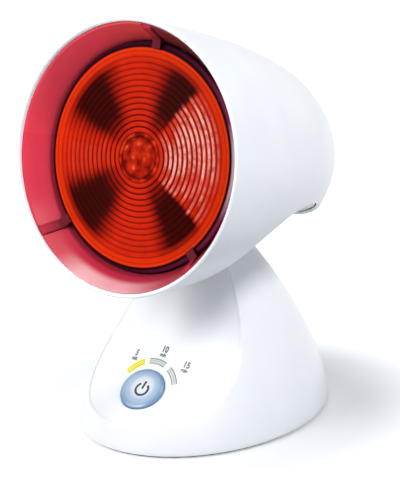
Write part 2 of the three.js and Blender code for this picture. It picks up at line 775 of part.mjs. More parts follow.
function addStandParts() {
  addPart(lamp, 'stand_shell', whitePlastic, standShell());
  addPart(lamp, 'control_panel', whitePlastic, controlPanel());

  const flangeTop = base.lift + base.flangeThickness;
  const footPlaces = fourPlaces(base.footAcross, base.footAlong);
  const footTop = base.footThickness;
  const cuts = [
    ...bossPlaces.map(([x, y]) => union(
      rodAlongZ(x, y, 0, plateTop + overrun, base.screwRadius + gap, fine.tiny),
      rodAlongZ(x, y, 0, base.lift + base.screwHeadLength + gap, base.screwHeadRadius + gap, fine.tiny),
    )),
    ...footPlaces.map(([x, y]) => rodAlongZ(x, y, 0, footTop + gap, base.footRadius + gap)),
  ];
  addPart(lamp, 'base_plate', blackPlastic,
    ovalSlab(base.flangeInset, base.lift, flangeTop)
      .add(ovalSlab(stand.wall + base.rimInset, base.lift, plateTop))
      .subtract(union(...cuts)));
  footPlaces.forEach(([x, y], i) => {
    addPart(lamp, `rubber_foot_${i + 1}`, rubber, rodAlongZ(x, y, 0, footTop, base.footRadius));
  });
  const screwEnd = bossFoot + base.bossBoreDepth - base.screwRadius;
  bossPlaces.forEach(([x, y], i) => {
    const headTop = base.lift + base.screwHeadLength;
    const head = rodAlongZ(x, y, base.lift, headTop, base.screwHeadRadius, fine.tiny);
    const shank = rodAlongZ(x, y, base.lift, screwEnd, base.screwRadius, fine.tiny);
    addPart(lamp, `base_screw_${i + 1}`, steel, head.add(shank));
  });

  const { corner, halfWidth, front, back } = ballast;
  const ballastOutline = [
    [halfWidth, front + corner], [halfWidth, back - corner], [halfWidth - corner, back],
    [-halfWidth + corner, back], [-halfWidth, back - corner], [-halfWidth, front + corner],
    [-halfWidth + corner, front], [halfWidth - corner, front],
  ];
  addPart(lamp, 'ballast_weight', steel, slab(ballastOutline, bossFoot, bossFoot + ballast.thickness));

  const poles = [];
  for (let i = 0; i < terminal.poles; i += 1) {
    const x = terminal.halfWidth * ((2 * i + 1) / terminal.poles - 1);
    poles.push(rodAlongZ(x, terminal.along, bossFoot + terminal.height / 2,
      bossFoot + terminal.height + overrun, terminal.poleRadius, fine.tiny));
  }
  addPart(lamp, 'terminal_block', porcelain,
    cuboid(-terminal.halfWidth, terminal.halfWidth, terminal.along - terminal.length / 2,
      terminal.along + terminal.length / 2, bossFoot, bossFoot + terminal.height).subtract(union(...poles)));

  const { radius, boreRadius, flangeRadius, flangeThickness, tail } = gland;
  const place = glandPlace();
  const outside = place.outside + gap;
  const inside = place.inside - gap;
  addPart(lamp, 'cable_gland', blackPlastic, moved(revolveRing([
    [boreRadius, inside - flangeThickness], [flangeRadius, inside - flangeThickness], [flangeRadius, inside],
    [radius, inside], [radius, outside], [flangeRadius, outside], [flangeRadius, outside + flangeThickness],
    [boreRadius + flangeThickness, outside + tail], [boreRadius, outside + tail],
  ], fine.small), place.matrix));
}

// An oval plate that follows the foot of the bell
function ovalSlab(inset, low, high) {
  const rings = [low, high].map((z) => {
    const ring = [];
    for (let k = 0; k < fine.bell; k += 1) {
      const angle = (k / fine.bell) * turn;
      ring.push(new THREE.Vector3((stand.halfWidth - inset) * Math.cos(angle),
        stand.centreBack + (stand.halfDepth - inset) * Math.sin(angle), z));
    }
    return ring;
  });
  return loft(rings);
}

// The shade's outline from rim to back, as [radius, place along the axis] points
function hoodOutline(length, radius, low) {
  const points = hoodShares.map(([along, out]) => (
    new THREE.Vector3(out * radius, Math.max(along * length, low), 0)
  ));
  const curve = new THREE.CatmullRomCurve3(points, false, 'centripetal');
  return curve.getPoints(fine.hood).map((point) => [Math.max(point.x, 0), point.y]);
}

function hoodOuter() {
  const { lipRadius, lipDepth, radius, length } = hood;
  const half = (lipRadius + radius) / 2;
  const soft = (radius - lipRadius) / 4;
  return revolve([
    [0, 0], [lipRadius, 0], [half, 0], [radius - soft, soft], ...hoodOutline(length, radius, lipDepth),
  ]);
}

function hoodInner() {
  const { lipRadius, wall, length } = hood;
  return revolve([[0, -overrun], [lipRadius, -overrun], ...hoodOutline(length - wall, lipRadius, 0)]);
}

const archAlong = hood.pivotBehindRim + hood.archBehindPivot;
const archDown = hood.pivotBelowAxis + hood.archBelowPivot;
function archRod(radius) {
  return rodAlongX(-hood.radius - overrun, hood.radius + overrun, archDown, archAlong, radius, fine.arch);
}

const postPlaces = [
  [0, -hood.postCircle],
  [hood.postCircle * Math.cos(hood.postAngle), hood.postCircle * Math.sin(hood.postAngle)],
  [-hood.postCircle * Math.cos(hood.postAngle), hood.postCircle * Math.sin(hood.postAngle)],
];

function headShell() {
  const posts = postPlaces.map(([x, y]) => (
    rodAlongZ(x, y, bracket.back + gap, hood.length, hood.postRadius, fine.tiny)
  ));
  const bores = postPlaces.map(([x, y]) => rodAlongZ(x, y, bracket.back, bracket.back + hood.postBoreDepth,
    hood.postBoreRadius, fine.tiny));
  const outer = hoodOuter();
  return outer
    .subtract(hoodInner().subtract(union(...posts)))
    .subtract(union(...bores))
    .subtract(archRod(hood.archRadius));
}

// The outside of the lamp's glass dish
function dishRadius(along) {
  return Math.sqrt(4 * bulb.focalLength * (bulb.vertex - along));
}

function dishPoints(grow, from) {
  const joint = bulb.vertex - (bulb.neckRadius ** 2) / (4 * bulb.focalLength);
  const steps = fine.tiny / 2;
  const points = [];
  for (let i = 0; i <= steps; i += 1) {
    const along = from + (joint - from) * (i / steps);
    points.push([Math.min(dishRadius(along), bulb.rimRadius) + grow, along]);
  }
  return points;
}

function addLamp() {
  const { crown, lensEdge, lensRadius, rimRadius, rimFront, rimBack, lensThickness } = bulb;
  const bulge = (radius, shift) => [radius, crown + shift + (lensEdge - crown) * (radius / lensRadius) ** 2];
  const stops = [0, 0.4, 0.7, 1];
  addPart(headFrame, 'bulb_lens', redGlass, revolve([
    ...stops.map((stop) => bulge(stop * lensRadius, 0)), [rimRadius, rimFront], [rimRadius, rimBack],
    [lensRadius, rimBack],
    ...stops.map((stop) => bulge((1 - stop) * (lensRadius - lensThickness), lensThickness)),
  ]));

  const dishFront = rimBack + gap;
  const outside = [...dishPoints(0, dishFront), [bulb.neckEndRadius, bulb.neckEnd]];
  const inside = outside.map(([r, z]) => [r - bulb.glass, z]).reverse();
  addPart(headFrame, 'bulb_reflector', mirrorGlass, revolveRing([...outside, ...inside], fine.inner));

  const capFront = bulb.neckEnd + gap;
  const pitch = (bulb.capEnd - capFront) / (bulb.threadCount + 1);
  const thread = [];
  for (let i = 0; i < bulb.threadCount; i += 1) {
    thread.push([bulb.capRadius - bulb.threadDepth, capFront + (i + 1) * pitch]);
    thread.push([bulb.capRadius, capFront + (i + 1.5) * pitch]);
  }
  const capInside = bulb.capRadius - bulb.threadDepth - bulb.capWall;
  addPart(headFrame, 'bulb_cap', brass, revolveRing([
    [capInside, capFront], [bulb.capRadius, capFront], ...thread,
    [bulb.capRadius - bulb.threadDepth, bulb.capEnd], [capInside, bulb.capEnd],
  ], fine.small));
  addPart(headFrame, 'bulb_insulator', blackGlass, revolve([
    [0, bulb.capEnd + gap], [capInside, bulb.capEnd + gap], [bulb.insulatorTipRadius, bulb.insulatorEnd],
    [0, bulb.insulatorEnd],
  ], fine.small));
  addPart(headFrame, 'bulb_contact', brass,
    rodAlongZ(0, 0, bulb.insulatorEnd + gap, bulb.end, bulb.contactRadius));

  const stemFlange = capInside - gap;
  addPart(headFrame, 'bulb_stem', clearGlass, revolve([
    [0, bulb.stemFront], [bulb.stemRadius, bulb.stemFront], [bulb.stemRadius, bulb.neckEnd],
    [stemFlange, bulb.stemFoot - overrun], [stemFlange, bulb.stemFoot], [0, bulb.stemFoot],
  ], fine.small));
  const ends = [-1, 1].map((side) => new THREE.Vector3(side * bulb.filamentSpread, 0, bulb.stemFront - gap));
  const tips = [-2, 2].map((side) => new THREE.Vector3(side * bulb.filamentSpread, 0, bulb.filamentFront));
  const bow = new THREE.Vector3(0, bulb.filamentBow, bulb.filamentFront - bulb.filamentBow / 2);
  const route = [ends[0], tips[0], bow, tips[1], ends[1]];
  addPart(headFrame, 'bulb_filament', tungsten,
    wire(route, bulb.filamentRadius, bulb.filamentRadius, fine.leadSteps));
}

const clipAngles = [-turn / 4, turn / 8, (3 * turn) / 8];
const linerSlope = (hood.lipRadius - gap - liner.backRadius) / (liner.back - liner.front);
function linerRadius(along) {
  return hood.lipRadius - gap - linerSlope * (along - liner.front);
}

function addLiner() {
  const { front, back, thickness, clipWidth, clipProud } = liner;
  const full = revolveRing([
    [linerRadius(front), front], [linerRadius(back), back], [linerRadius(back) - thickness, back],
    [linerRadius(front) - thickness, front],
  ]);
  const reach = 2 * hood.radius;
  const halfWidth = clipWidth / 2;
  const names = ['liner_right', 'liner_lower', 'liner_left'];
  names.forEach((name, i) => {
    const [from, to] = [clipAngles[i], clipAngles[i + 1] ?? clipAngles[0] + turn];
    const middle = (from + to) / 2;
    const edges = [from, middle, to].map((angle) => [reach * Math.cos(angle), reach * Math.sin(angle)]);
    const wedge = slab([[0, 0], ...edges], 0, back + overrun);
    const bars = [from, to].map((angle) => moved(
      cuboid(0, reach, -halfWidth - gap, halfWidth + gap, 0, back + overrun),
      new THREE.Matrix4().makeRotationZ(angle),
    ));
    addPart(headFrame, name, crimsonLiner, full.intersect(wedge).subtract(union(...bars)));
  });

  const inward = thickness + clipProud;
  const hookBack = bulb.lensEdge - gap - (bulb.lensEdge - bulb.crown) / 8;
  const hookFront = hookBack - liner.clipHookThickness;
  const hookEnd = bulb.rimRadius - liner.clipHook;
  const seat = bulb.rimRadius + gap;
  const outline = [
    [linerRadius(front), front], [linerRadius(back), back], [seat, back], [seat, hookBack],
    [hookEnd, hookBack], [hookEnd, hookFront], [linerRadius(hookFront) - inward, hookFront],
    [linerRadius(front) - inward, front],
  ];
  // The outline lies in the plane of the axis and is turned to each clip's angle
  const upright = new THREE.Matrix4().makeRotationX(turn / 4);
  ['bulb_clip_top', 'bulb_clip_right', 'bulb_clip_left'].forEach((name, i) => {
    const bar = moved(slab(outline, -halfWidth, halfWidth), upright);
    addPart(headFrame, name, crimsonLiner, moved(bar, new THREE.Matrix4().makeRotationZ(clipAngles[i])));
  });
}

function shieldOuter(grow) {
  const tube = shield.tubeRadius + shield.thickness + grow;
  const dish = dishPoints(shield.clearance + shield.thickness + grow, shield.front);
  const points = dish.map(([r, z]) => [Math.max(r, tube), z]);
  return [...points, [tube, shield.tubeStart], [tube, bracket.front - gap]];
}

function addHolder() {
  const outside = shieldOuter(0);
  const inside = outside.map(([r, z]) => [r - shield.thickness, z]).reverse();
  addPart(headFrame, 'heat_shield', aluminium, revolveRing([...outside, ...inside], fine.inner));

  const { front, back, radius, tipRadius, taperStart, collarRadius, boreRadius, floor } = holder;
  addPart(headFrame, 'lamp_holder', porcelain, revolve([
    [0, floor], [boreRadius, floor], [boreRadius, front], [collarRadius, front],
    [collarRadius, bracket.front - gap], [radius, bracket.front - gap], [radius, taperStart],
    [tipRadius, back], [0, back],
  ], fine.small));
  const contactBack = floor - gap;
  addPart(headFrame, 'holder_contact', brass,
    cuboid(-boreRadius + overrun, boreRadius - overrun, -holder.contactWidth / 2, holder.contactWidth / 2,
      contactBack - holder.contactThickness, contactBack));

  const plate = rodAlongZ(0, 0, bracket.front, bracket.back, bracket.radius, fine.inner)
    .intersect(cuboid(-hood.radius, hood.radius, -hood.radius, bracket.lowerEdge, 0, hood.length))
    .add(rodAlongZ(0, 0, bracket.front, bracket.back, bracket.collarRadius));
  const earOuter = pivot.earInner + pivot.earThickness;
  const [down, along] = [hood.pivotBelowAxis, hood.pivotBehindRim];
  const earOutline = hullOfDiscAndEdge(down, along, pivot.earRadius,
    [bracket.earTop, bracket.back], [bracket.earBottom, bracket.back]);
  const ears = [1, -1].map((side) => {
    const [a, b] = [side * pivot.earInner, side * earOuter];
    return slabAlongX(earOutline, Math.min(a, b), Math.max(a, b));
  });
  const tab = cuboid(-earOuter, earOuter, 0, bracket.earBottom, bracket.front, bracket.back);
  const holes = [
    rodAlongZ(0, 0, 0, hood.length, radius + gap),
    rodAlongZ(0, bracket.leadHole, bracket.front - overrun, bracket.back + overrun,
      bracket.leadHoleRadius, fine.tiny),
    rodAlongX(-hood.radius, hood.radius, down, along, pivot.boltRadius + gap),
    ...postPlaces.map(([x, y]) => rodAlongZ(x, y, 0, hood.length, bracket.screwRadius + gap, fine.tiny)),
  ];
  addPart(headFrame, 'tilt_bracket', steel, union(plate, tab, ...ears).subtract(union(...holes)));

  const headFront = bracket.front - gap - bracket.screwHeadLength;
  const screwEnd = bracket.back + hood.postBoreDepth - bracket.screwRadius;
  postPlaces.forEach(([x, y], i) => {
    const head = rodAlongZ(x, y, headFront, bracket.front - gap, bracket.screwHeadRadius, fine.tiny);
    addPart(headFrame, `bracket_screw_${i + 1}`, steel,
      head.add(rodAlongZ(x, y, headFront, screwEnd, bracket.screwRadius, fine.tiny)));
  });
}

// The outline round a disc and a straight edge beside it, as [first, second] points
function hullOfDiscAndEdge(first, second, radius, edgeStart, edgeEnd) {
  const steps = fine.small;
  const points = [edgeStart, edgeEnd];
  for (let i = 0; i < steps; i += 1) {
    const angle = (i / steps) * turn;
    points.push([first + radius * Math.cos(angle), second + radius * Math.sin(angle)]);
  }
  return convexHull(points);
}

function convexHull(points) {
  const sorted = [...points].sort((a, b) => a[0] - b[0] || a[1] - b[1]);
  const half = (list) => {
    const chain = [];
    for (const point of list) {
      while (chain.length > 1) {
        const [p, q] = chain.slice(-2);
        if ((q[0] - p[0]) * (point[1] - p[1]) - (q[1] - p[1]) * (point[0] - p[0]) > 0) break;
        chain.pop();
      }
      chain.push(point);
    }
    return chain.slice(0, -1);
  };
  return [...half(sorted), ...half([...sorted].reverse())];
}

// A white cover that closes the shade's arch, round the lamp's belly and the bracket's arm
function addUndersideCover() {
  const sheet = archRod(hood.archRadius + gap + hood.coverThickness).subtract(archRod(hood.archRadius + gap));
  const inner = revolve([[0, liner.back + gap], [linerRadius(liner.back), liner.back + gap],
    ...hoodOutline(hood.length - hood.wall - 2 * gap, hood.lipRadius - 2 * gap, liner.back + gap)]);
  const belly = union(
    revolve([[0, 0], [shieldOuter(gap)[0][0], 0], ...shieldOuter(2 * gap), [0, bracket.front]], fine.inner),
    rodAlongZ(0, 0, 0, bracket.back + 2 * gap, bracket.collarRadius + 2 * gap),
    rodAlongZ(0, 0, 0, hood.length, holder.radius + 2 * gap),
    cuboid(-hood.coverSlot, hood.coverSlot, 0, hood.radius, 0, hood.coverSlotEnd),
  );
  const lowerHalf = cuboid(-hood.radius, hood.radius, 0, hood.radius, liner.back, hood.length);
  const cover = sheet.intersect(inner).intersect(lowerHalf).subtract(belly);
  addPart(headFrame, 'underside_cover', whitePlastic, cover);
}

function ringAlongX(low, high, inner, outer, sides = fine.small) {
  return rodAlongX(low, high, pivot.back, pivot.height, outer, sides)
    .subtract(rodAlongX(low - overrun, high + overrun, pivot.back, pivot.height, inner));
}

function addHinge() {
  const { boltRadius, boltHeadRadius, nutRadius, nutLength } = pivot;
  const bore = boltRadius + gap;
  addPart(lamp, 'hinge_bolt', steel, union(
    rodAlongX(-boltEnd, ribOuter + gap, pivot.back, pivot.height, boltRadius),
    rodAlongX(ribOuter + gap, boltHeadEnd, pivot.back, pivot.height, boltHeadRadius, fine.hexagon),
  ));
  addPart(lamp, 'hinge_nut', steel,
    ringAlongX(-nutFrom - nutLength, -nutFrom, bore, nutRadius, fine.hexagon));
  addPart(lamp, 'spring_washer', steel,
    ringAlongX(-ribOuter - gap - pivot.springWasherThickness, -ribOuter - gap, bore, nutRadius));
  const earOuter = pivot.earInner + pivot.earThickness;
  const washerFrom = earOuter + gap;
  const washerTo = washerFrom + pivot.washerThickness;
  addPart(lamp, 'friction_washer_right', fibre, ringAlongX(washerFrom, washerTo, bore, pivot.washerRadius));
  addPart(lamp, 'friction_washer_left', fibre, ringAlongX(-washerTo, -washerFrom, bore, pivot.washerRadius));
  const bushHalf = pivot.earInner - gap;
  addPart(lamp, 'hinge_bush', steel, ringAlongX(-bushHalf, bushHalf, bore, pivot.bushRadius));
}

function addLeads() {
  const { halfWidth, halfThickness, curlRadius, curlStart, curlEnd } = lead;
  const down = hood.pivotBelowAxis;
  const along = hood.pivotBehindRim;
  const meet = (curlRadius + halfThickness + gap) * Math.SQRT1_2;
  const headRoute = [
    [holder.leadDown, holder.leadAlong],
    [(holder.leadDown + bracket.leadHole) / 2, (holder.leadAlong + bracket.back) / 2],
    [bracket.leadHole, bracket.back + overrun],
    [bracket.leadHole, bracket.front - overrun],
    [down - 2 * meet, along + 2 * meet],
    [down - meet, along + meet],
  ];
  const flat = (route) => wire(
    route.map(([y, z]) => new THREE.Vector3(0, y, z)), halfWidth, halfThickness, fine.leadSteps,
  );
  addPart(headFrame, 'lamp_lead', greySleeve, flat(headRoute));

  const boardEnd = new THREE.Vector3(0, board.upper - board.postInset, boardBottom - halfThickness - gap)
    .applyMatrix4(panelFrame.matrix);
  const standRoute = [
    [boardEnd.y, boardEnd.z],
    [pivot.back / 2, (boardEnd.z + stand.ribFoot) / 2],
    [pivot.back, pivot.height - 3 * curlRadius],
  ];
  for (let i = 0; i <= fine.tiny / 2; i += 1) {
    const angle = curlStart + (curlEnd - curlStart) * (2 * i / fine.tiny);
    standRoute.push([pivot.back + curlRadius * Math.cos(angle), pivot.height + curlRadius * Math.sin(angle)]);
  }
  addPart(lamp, 'stand_lead', greySleeve, flat(standRoute));
}

addStandParts();
addPanelParts();
addHinge();
addPart(headFrame, 'head_shell', whitePlastic, headShell());
addUndersideCover();
addLiner();
addLamp();
addHolder();
addLeads();
lamp.add(panelFrame, headFrame);

// The origin goes under the middle of the whole lamp
const reach = new THREE.Box3().setFromObject(lamp, true);
lamp.position.y = -(reach.min.y + reach.max.y) / 2;

const model = new THREE.Group();
model.add(lamp);
export default model;
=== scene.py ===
import json
import math

import bmesh
import bpy
from mathutils import Matrix, Vector

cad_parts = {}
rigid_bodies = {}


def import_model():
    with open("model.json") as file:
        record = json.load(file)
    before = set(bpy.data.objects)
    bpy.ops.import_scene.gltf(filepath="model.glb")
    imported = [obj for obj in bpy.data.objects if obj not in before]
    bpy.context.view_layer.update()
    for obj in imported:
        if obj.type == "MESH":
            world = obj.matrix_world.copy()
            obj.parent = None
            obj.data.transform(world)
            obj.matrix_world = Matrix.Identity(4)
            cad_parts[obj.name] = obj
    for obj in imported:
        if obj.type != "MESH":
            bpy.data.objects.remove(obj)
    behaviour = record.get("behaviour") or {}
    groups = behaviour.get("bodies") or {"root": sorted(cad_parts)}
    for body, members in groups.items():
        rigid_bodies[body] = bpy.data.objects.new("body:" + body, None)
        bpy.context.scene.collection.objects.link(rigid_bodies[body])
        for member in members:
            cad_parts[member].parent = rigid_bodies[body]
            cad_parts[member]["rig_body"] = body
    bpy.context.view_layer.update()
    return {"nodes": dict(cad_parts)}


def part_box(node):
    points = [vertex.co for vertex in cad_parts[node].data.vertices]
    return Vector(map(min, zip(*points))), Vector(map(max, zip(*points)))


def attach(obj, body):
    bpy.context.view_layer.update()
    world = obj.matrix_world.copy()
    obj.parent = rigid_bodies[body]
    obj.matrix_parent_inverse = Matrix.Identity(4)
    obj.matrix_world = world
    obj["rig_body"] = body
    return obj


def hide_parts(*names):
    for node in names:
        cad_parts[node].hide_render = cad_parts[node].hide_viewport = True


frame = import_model()

# Lengths are in mm and angles in radians, where nothing else is said
mm = 0.001
fullTurn = 2 * math.pi
gap = 0.3  # between neighbouring pieces
overrun = 2.0  # how far a cutting shape reaches past what it cuts
weld = 1e-4  # points nearer than this become one
copyWeld = 0.01  # the same in a copy of a frame node
print("frame loaded:", len(frame["nodes"]), "nodes")


# Where things are. The middle of the hinge comes from the frame.
bushLow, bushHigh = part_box("hinge_bush")
hinge = (bushLow + bushHigh) / 2 / mm

standSizes = {
    "halfWidth": 60.0,
    "halfDepth": 79.2,
    "height": 122.3,
    "power": 1.55,  # how the bell draws in towards its top
    "lean": 0.027,  # how far its middle moves back for each mm of height
    "centreBack": 0.9,
    "wall": 2.5,
    "foot": 1.3,
    "cavityTop": 104.0,
    "hingeBack": 12.0,
    "neckTopRadius": 19.5,
    "ribGap": 5.3,
    "ribThickness": 2.5,
    "ribFoot": 78.0,
    "neckSpokes": 128,
    "slopeStep": 0.3,  # the height over which the wall's slope is measured
    "edgeRadius": 0.5,
}
panelSizes = {
    "slope": math.radians(38),
    "buttonBack": -52.88,
    "buttonHeight": 27.27,
    "sweepRadius": 97.0,
    "sweepFade": 400.0,  # the sweep is flatter the higher up, and would end here
    "crownRadius": 131.0,
    "crownGather": 88.0,  # the crown is twice as strong this far up
    "thickness": 2.5,
    "border": 1.0,
    "upperEnd": 74.0,
    "lowerReach": 46.0,
    "upperReach": 124.0,
    "sideReach": 66.0,
    "depthReach": 150.0,
    "edgeRadius": 0.35,
    "seam": 0.16,
}
headSizes = {
    "tilt": math.radians(13.84),
    "pivotBehindRim": 93.5,
    "pivotBelowAxis": 47.4,
}

standShift = Vector((0, hinge.y - standSizes["hingeBack"], 0))


def framePlace(across, along, out, origin):
    # One placement from its three directions and its origin, in mm
    columns = Matrix((across, along, out)).transposed().to_4x4()
    return Matrix.Translation(origin) @ columns


def findHeadPlace():
    tilt = headSizes["tilt"]
    down = Vector((0, -math.sin(tilt), -math.cos(tilt)))
    back = Vector((0, math.cos(tilt), -math.sin(tilt)))
    rim = hinge - headSizes["pivotBehindRim"] * back - headSizes["pivotBelowAxis"] * down
    return framePlace(Vector((1, 0, 0)), down, back, rim)


def findPanelPlace():
    slope = panelSizes["slope"]
    up = Vector((0, math.cos(slope), math.sin(slope)))
    out = Vector((0, -math.sin(slope), math.cos(slope)))
    middle = standShift + Vector((0, panelSizes["buttonBack"], panelSizes["buttonHeight"]))
    return framePlace(Vector((1, 0, 0)), up, out, middle)


standPlace = Matrix.Translation(standShift)
headPlace = findHeadPlace()  # x right, y down, z back along the lamp's axis, from the middle of the rim
panelPlace = findPanelPlace()  # x right, y up the slope, z out of the face, from the middle of the button


# Camera: its angles are from straight ahead and from level
camera = {
    "azimuth": math.radians(38.4),
    "elevation": math.radians(20.0),
    "distance": 2000.0,
    "aimHeight": 100.0,
    "aimRight": -2.14,
    "aimUp": -7.67,
    "focalPixels": 3703.7,
    "imageHeight": 501,
    "sensor": 36.0,
    "clipEnd": 100.0,  # metres
}


def viewDirections():
    a, e = camera["azimuth"], camera["elevation"]
    back = Vector((math.sin(a) * math.cos(e), -math.cos(a) * math.cos(e), math.sin(e)))
    right = Vector((math.cos(a), math.sin(a), 0))
    return right, back.cross(right), back


def addCamera():
    right, up, back = viewDirections()
    data = bpy.data.cameras.new("camera")
    data.sensor_width = camera["sensor"]
    data.lens = camera["focalPixels"] * camera["sensor"] / camera["imageHeight"]
    data.clip_end = camera["clipEnd"]
    eye = bpy.data.objects.new("camera", data)
    bpy.context.scene.collection.objects.link(eye)
    aim = standShift + Vector((0, 0, camera["aimHeight"])) + camera["aimRight"] * right + camera["aimUp"] * up
    eye.matrix_world = framePlace(right, up, back, (aim + camera["distance"] * back) * mm)
    bpy.context.scene.camera = eye


addCamera()


# Materials
def linear(code):
    # An sRGB hex colour as linear red, green, blue and alpha
    parts = [int(code[i:i + 2], 16) / 255 for i in (1, 3, 5)]
    return [p / 12.92 if p <= 0.04045 else ((p + 0.055) / 1.055) ** 2.4 for p in parts] + [1.0]


smoothStep = {"interpolation_type": "SMOOTHSTEP"}
colourMix = {"data_type": "RGBA"}
mixShare, mixUnder, mixOver = 0, 6, 7  # the inputs of a colour mix, by number as their names repeat


def liveOutput(node):
    # The first output that a node's settings leave on
    return next(socket for socket in node.outputs if socket.enabled)


def addNode(tree, kind, settings=None, links=()):
    # Adds a node. Its settings may be the name of its operation alone. A link is a socket, a node (its first
    # live output), a hex colour or a plain value.
    node = tree.nodes.new(kind if "Node" in kind else "ShaderNode" + kind)
    settings = {"operation": settings} if isinstance(settings, str) else settings or {}
    for key, value in settings.items():
        setattr(node, key, value)
    for key, value in links.items() if isinstance(links, dict) else enumerate(links):
        if isinstance(value, bpy.types.Node):
            value = liveOutput(value)
        if isinstance(value, bpy.types.NodeSocket):
            tree.links.new(value, node.inputs[key])
        else:
            node.inputs[key].default_value = linear(value) if isinstance(value, str) else value
    return node


def setStops(node, stops, interpolation="LINEAR"):
    # Each stop of a colour ramp is a place from 0 to 1 and a hex colour
    elements = node.color_ramp.elements
    node.color_ramp.interpolation = interpolation
    while len(elements) < len(stops):
        elements.new(0.5)
    for element, (place, code) in zip(elements, stops):
        element.position = place
        element.color = linear(code)
    return node


def newFinish(name, sockets, place=None):
    # A material with its shader, and the object's coordinates in mm, turned into a piece's own placement
    material = bpy.data.materials.new(name)
    material.use_nodes = True
    tree = material.node_tree
    shader = tree.nodes["Principled BSDF"]
    for key, value in sockets.items():
        shader.inputs[key].default_value = value
    back = (place or Matrix.Identity(4)).inverted()
    mapping = addNode(tree, "Mapping", {"vector_type": "POINT"}, {
        "Vector": addNode(tree, "TexCoord").outputs["Object"],
        "Location": back.to_translation(),
        "Rotation": back.to_euler(),
        "Scale": (1 / mm, 1 / mm, 1 / mm),
    })
    return material, tree, shader, mapping


def fromAxis(tree, point):
    # How far a point is from the z axis
    flat = addNode(tree, "VectorMath", "MULTIPLY", [point, (1, 1, 0)])
    return addNode(tree, "VectorMath", "LENGTH", [flat]).outputs["Value"]


def apart(tree, value, other):
    # How far two values are from each other
    difference = addNode(tree, "Math", "SUBTRACT", [value, other])
    return addNode(tree, "Math", "ABSOLUTE", [difference])


grain = {"driftFrom": 0.35, "driftTo": 0.65, "driftDetail": 3.0, "grainDetail": 2.0, "grainHeight": 0.1}


def plainFinish(name, first, second, roughness, cell, bump, bumpCell, **more):
    # Colour that drifts slowly between two hex colours, and a fine surface grain. Cells are in mm.
    material, tree, shader, coordinates = newFinish(name, {"Roughness": roughness, **more})
    drift = addNode(tree, "TexNoise", None, {
        "Vector": coordinates, "Scale": 1 / cell, "Detail": grain["driftDetail"]})
    colour = setStops(addNode(tree, "ValToRGB", None, [drift]), [
        (grain["driftFrom"], first), (grain["driftTo"], second)])
    tree.links.new(liveOutput(colour), shader.inputs["Base Color"])
    texture = addNode(tree, "TexNoise", None, {
        "Vector": coordinates, "Scale": 1 / bumpCell, "Detail": grain["grainDetail"]})
    height = addNode(tree, "Bump", None, {
        "Height": texture, "Strength": bump, "Distance": grain["grainHeight"] * mm})
    tree.links.new(liveOutput(height), shader.inputs["Normal"])
    return material


finishes = {}
# ABS, injection moulded with a polished surface: bright, evenly satin, with soft wide highlights
finishes["white_plastic"] = plainFinish(
    "mouldedWhiteAbs", "#f1f2f4", "#edeef1", roughness=0.32, cell=30.0, bump=0.05, bumpCell=2.2, IOR=1.5)
# Glass-filled nylon, moulded with an eroded surface: dark and dull
finishes["black_plastic"] = plainFinish(
    "mouldedBlackNylon", "#222426", "#1b1d1f", roughness=0.6, cell=4.0, bump=0.3, bumpCell=0.5)
# Moulded silicone rubber: matt, with a fine dusty bloom
finishes["rubber"] = plainFinish(
    "siliconeRubber", "#1e1e20", "#2a2a2b", roughness=0.8, cell=3.0, bump=0.25, bumpCell=0.6)
# Fused black glass at the foot of the cap: deep brown-black with sharp highlights
finishes["black_glass"] = plainFinish(
    "blackVitriteGlass", "#17130f", "#221b15", roughness=0.2, cell=3.0, bump=0.06, bumpCell=1.0)
# Lead glass, drawn and pinched: pale, cold and glossy
finishes["clear_glass"] = plainFinish(
    "drawnLeadGlass", "#dfe8ea", "#d3dfe2", roughness=0.1, cell=5.0, bump=0.03, bumpCell=1.5)
# Drawn tungsten wire: dark grey with a dull shine
finishes["tungsten"] = plainFinish(
    "drawnTungsten", "#77797d", "#66686c", roughness=0.4, cell=0.8, bump=0.1, bumpCell=0.3, Metallic=0.9)
# Rolled brass sheet, pressed into a thread: warm yellow and bright
finishes["brass"] = plainFinish(
    "pressedBrass", "#c9a35a", "#b8914a", roughness=0.3, cell=3.0, bump=0.1, bumpCell=0.6, Metallic=1.0)
# Spun aluminium sheet: brown-grey and dull
finishes["aluminium"] = plainFinish(
    "dulledAluminium", "#6a6662", "#5a5653", roughness=0.6, cell=8.0, bump=0.15, bumpCell=0.7, Metallic=0.8)
# Zinc-plated mild steel: cool grey with faint spangle
finishes["steel"] = plainFinish(
    "zincPlatedSteel", "#a4a8ac", "#8f9397", roughness=0.38, cell=2.2, bump=0.12, bumpCell=0.6, Metallic=1.0)
# Glazed steatite: off-white and glossy
finishes["porcelain"] = plainFinish(
    "glazedSteatite", "#ece7db", "#e2dccd", roughness=0.25, cell=5.0, bump=0.08, bumpCell=1.2)
# FR4 board with green solder mask: a thin gloss over the woven glass
finishes["board_green"] = plainFinish(
    "solderMaskedBoard", "#2f6b46", "#275c3b", roughness=0.45, cell=2.5, bump=0.15, bumpCell=0.4)
# Vulcanised fibre, punched from sheet: dull and warm
finishes["fibre"] = plainFinish(
    "vulcanisedFibre", "#8b4a2f", "#784028", roughness=0.7, cell=1.5, bump=0.2, bumpCell=0.4)
# Glass-fibre sleeving over the leads: a dry pale weave
finishes["grey_sleeve"] = plainFinish(
    "glassFibreSleeve", "#b6b3ab", "#a5a299", roughness=0.65, cell=0.8, bump=0.3, bumpCell=0.4)
# Dipped epoxy on the small parts of the board: smooth and opaque
finishes["component_yellow"] = plainFinish(
    "epoxyYellow", "#e0b93a", "#cfa52c", roughness=0.4, cell=3.0, bump=0.1, bumpCell=0.6)
# Pad-printed ink: flat slate grey on the button, a paler grey on the panel
for key, name, first, second in (("printSlate", "slatePrint", "#2b2f38", "#33373f"),
                                 ("printGrey", "greyPrint", "#54565c", "#5e6066")):
    finishes[key] = plainFinish(name, first, second, roughness=0.6, cell=3.0, bump=0.05, bumpCell=0.6)
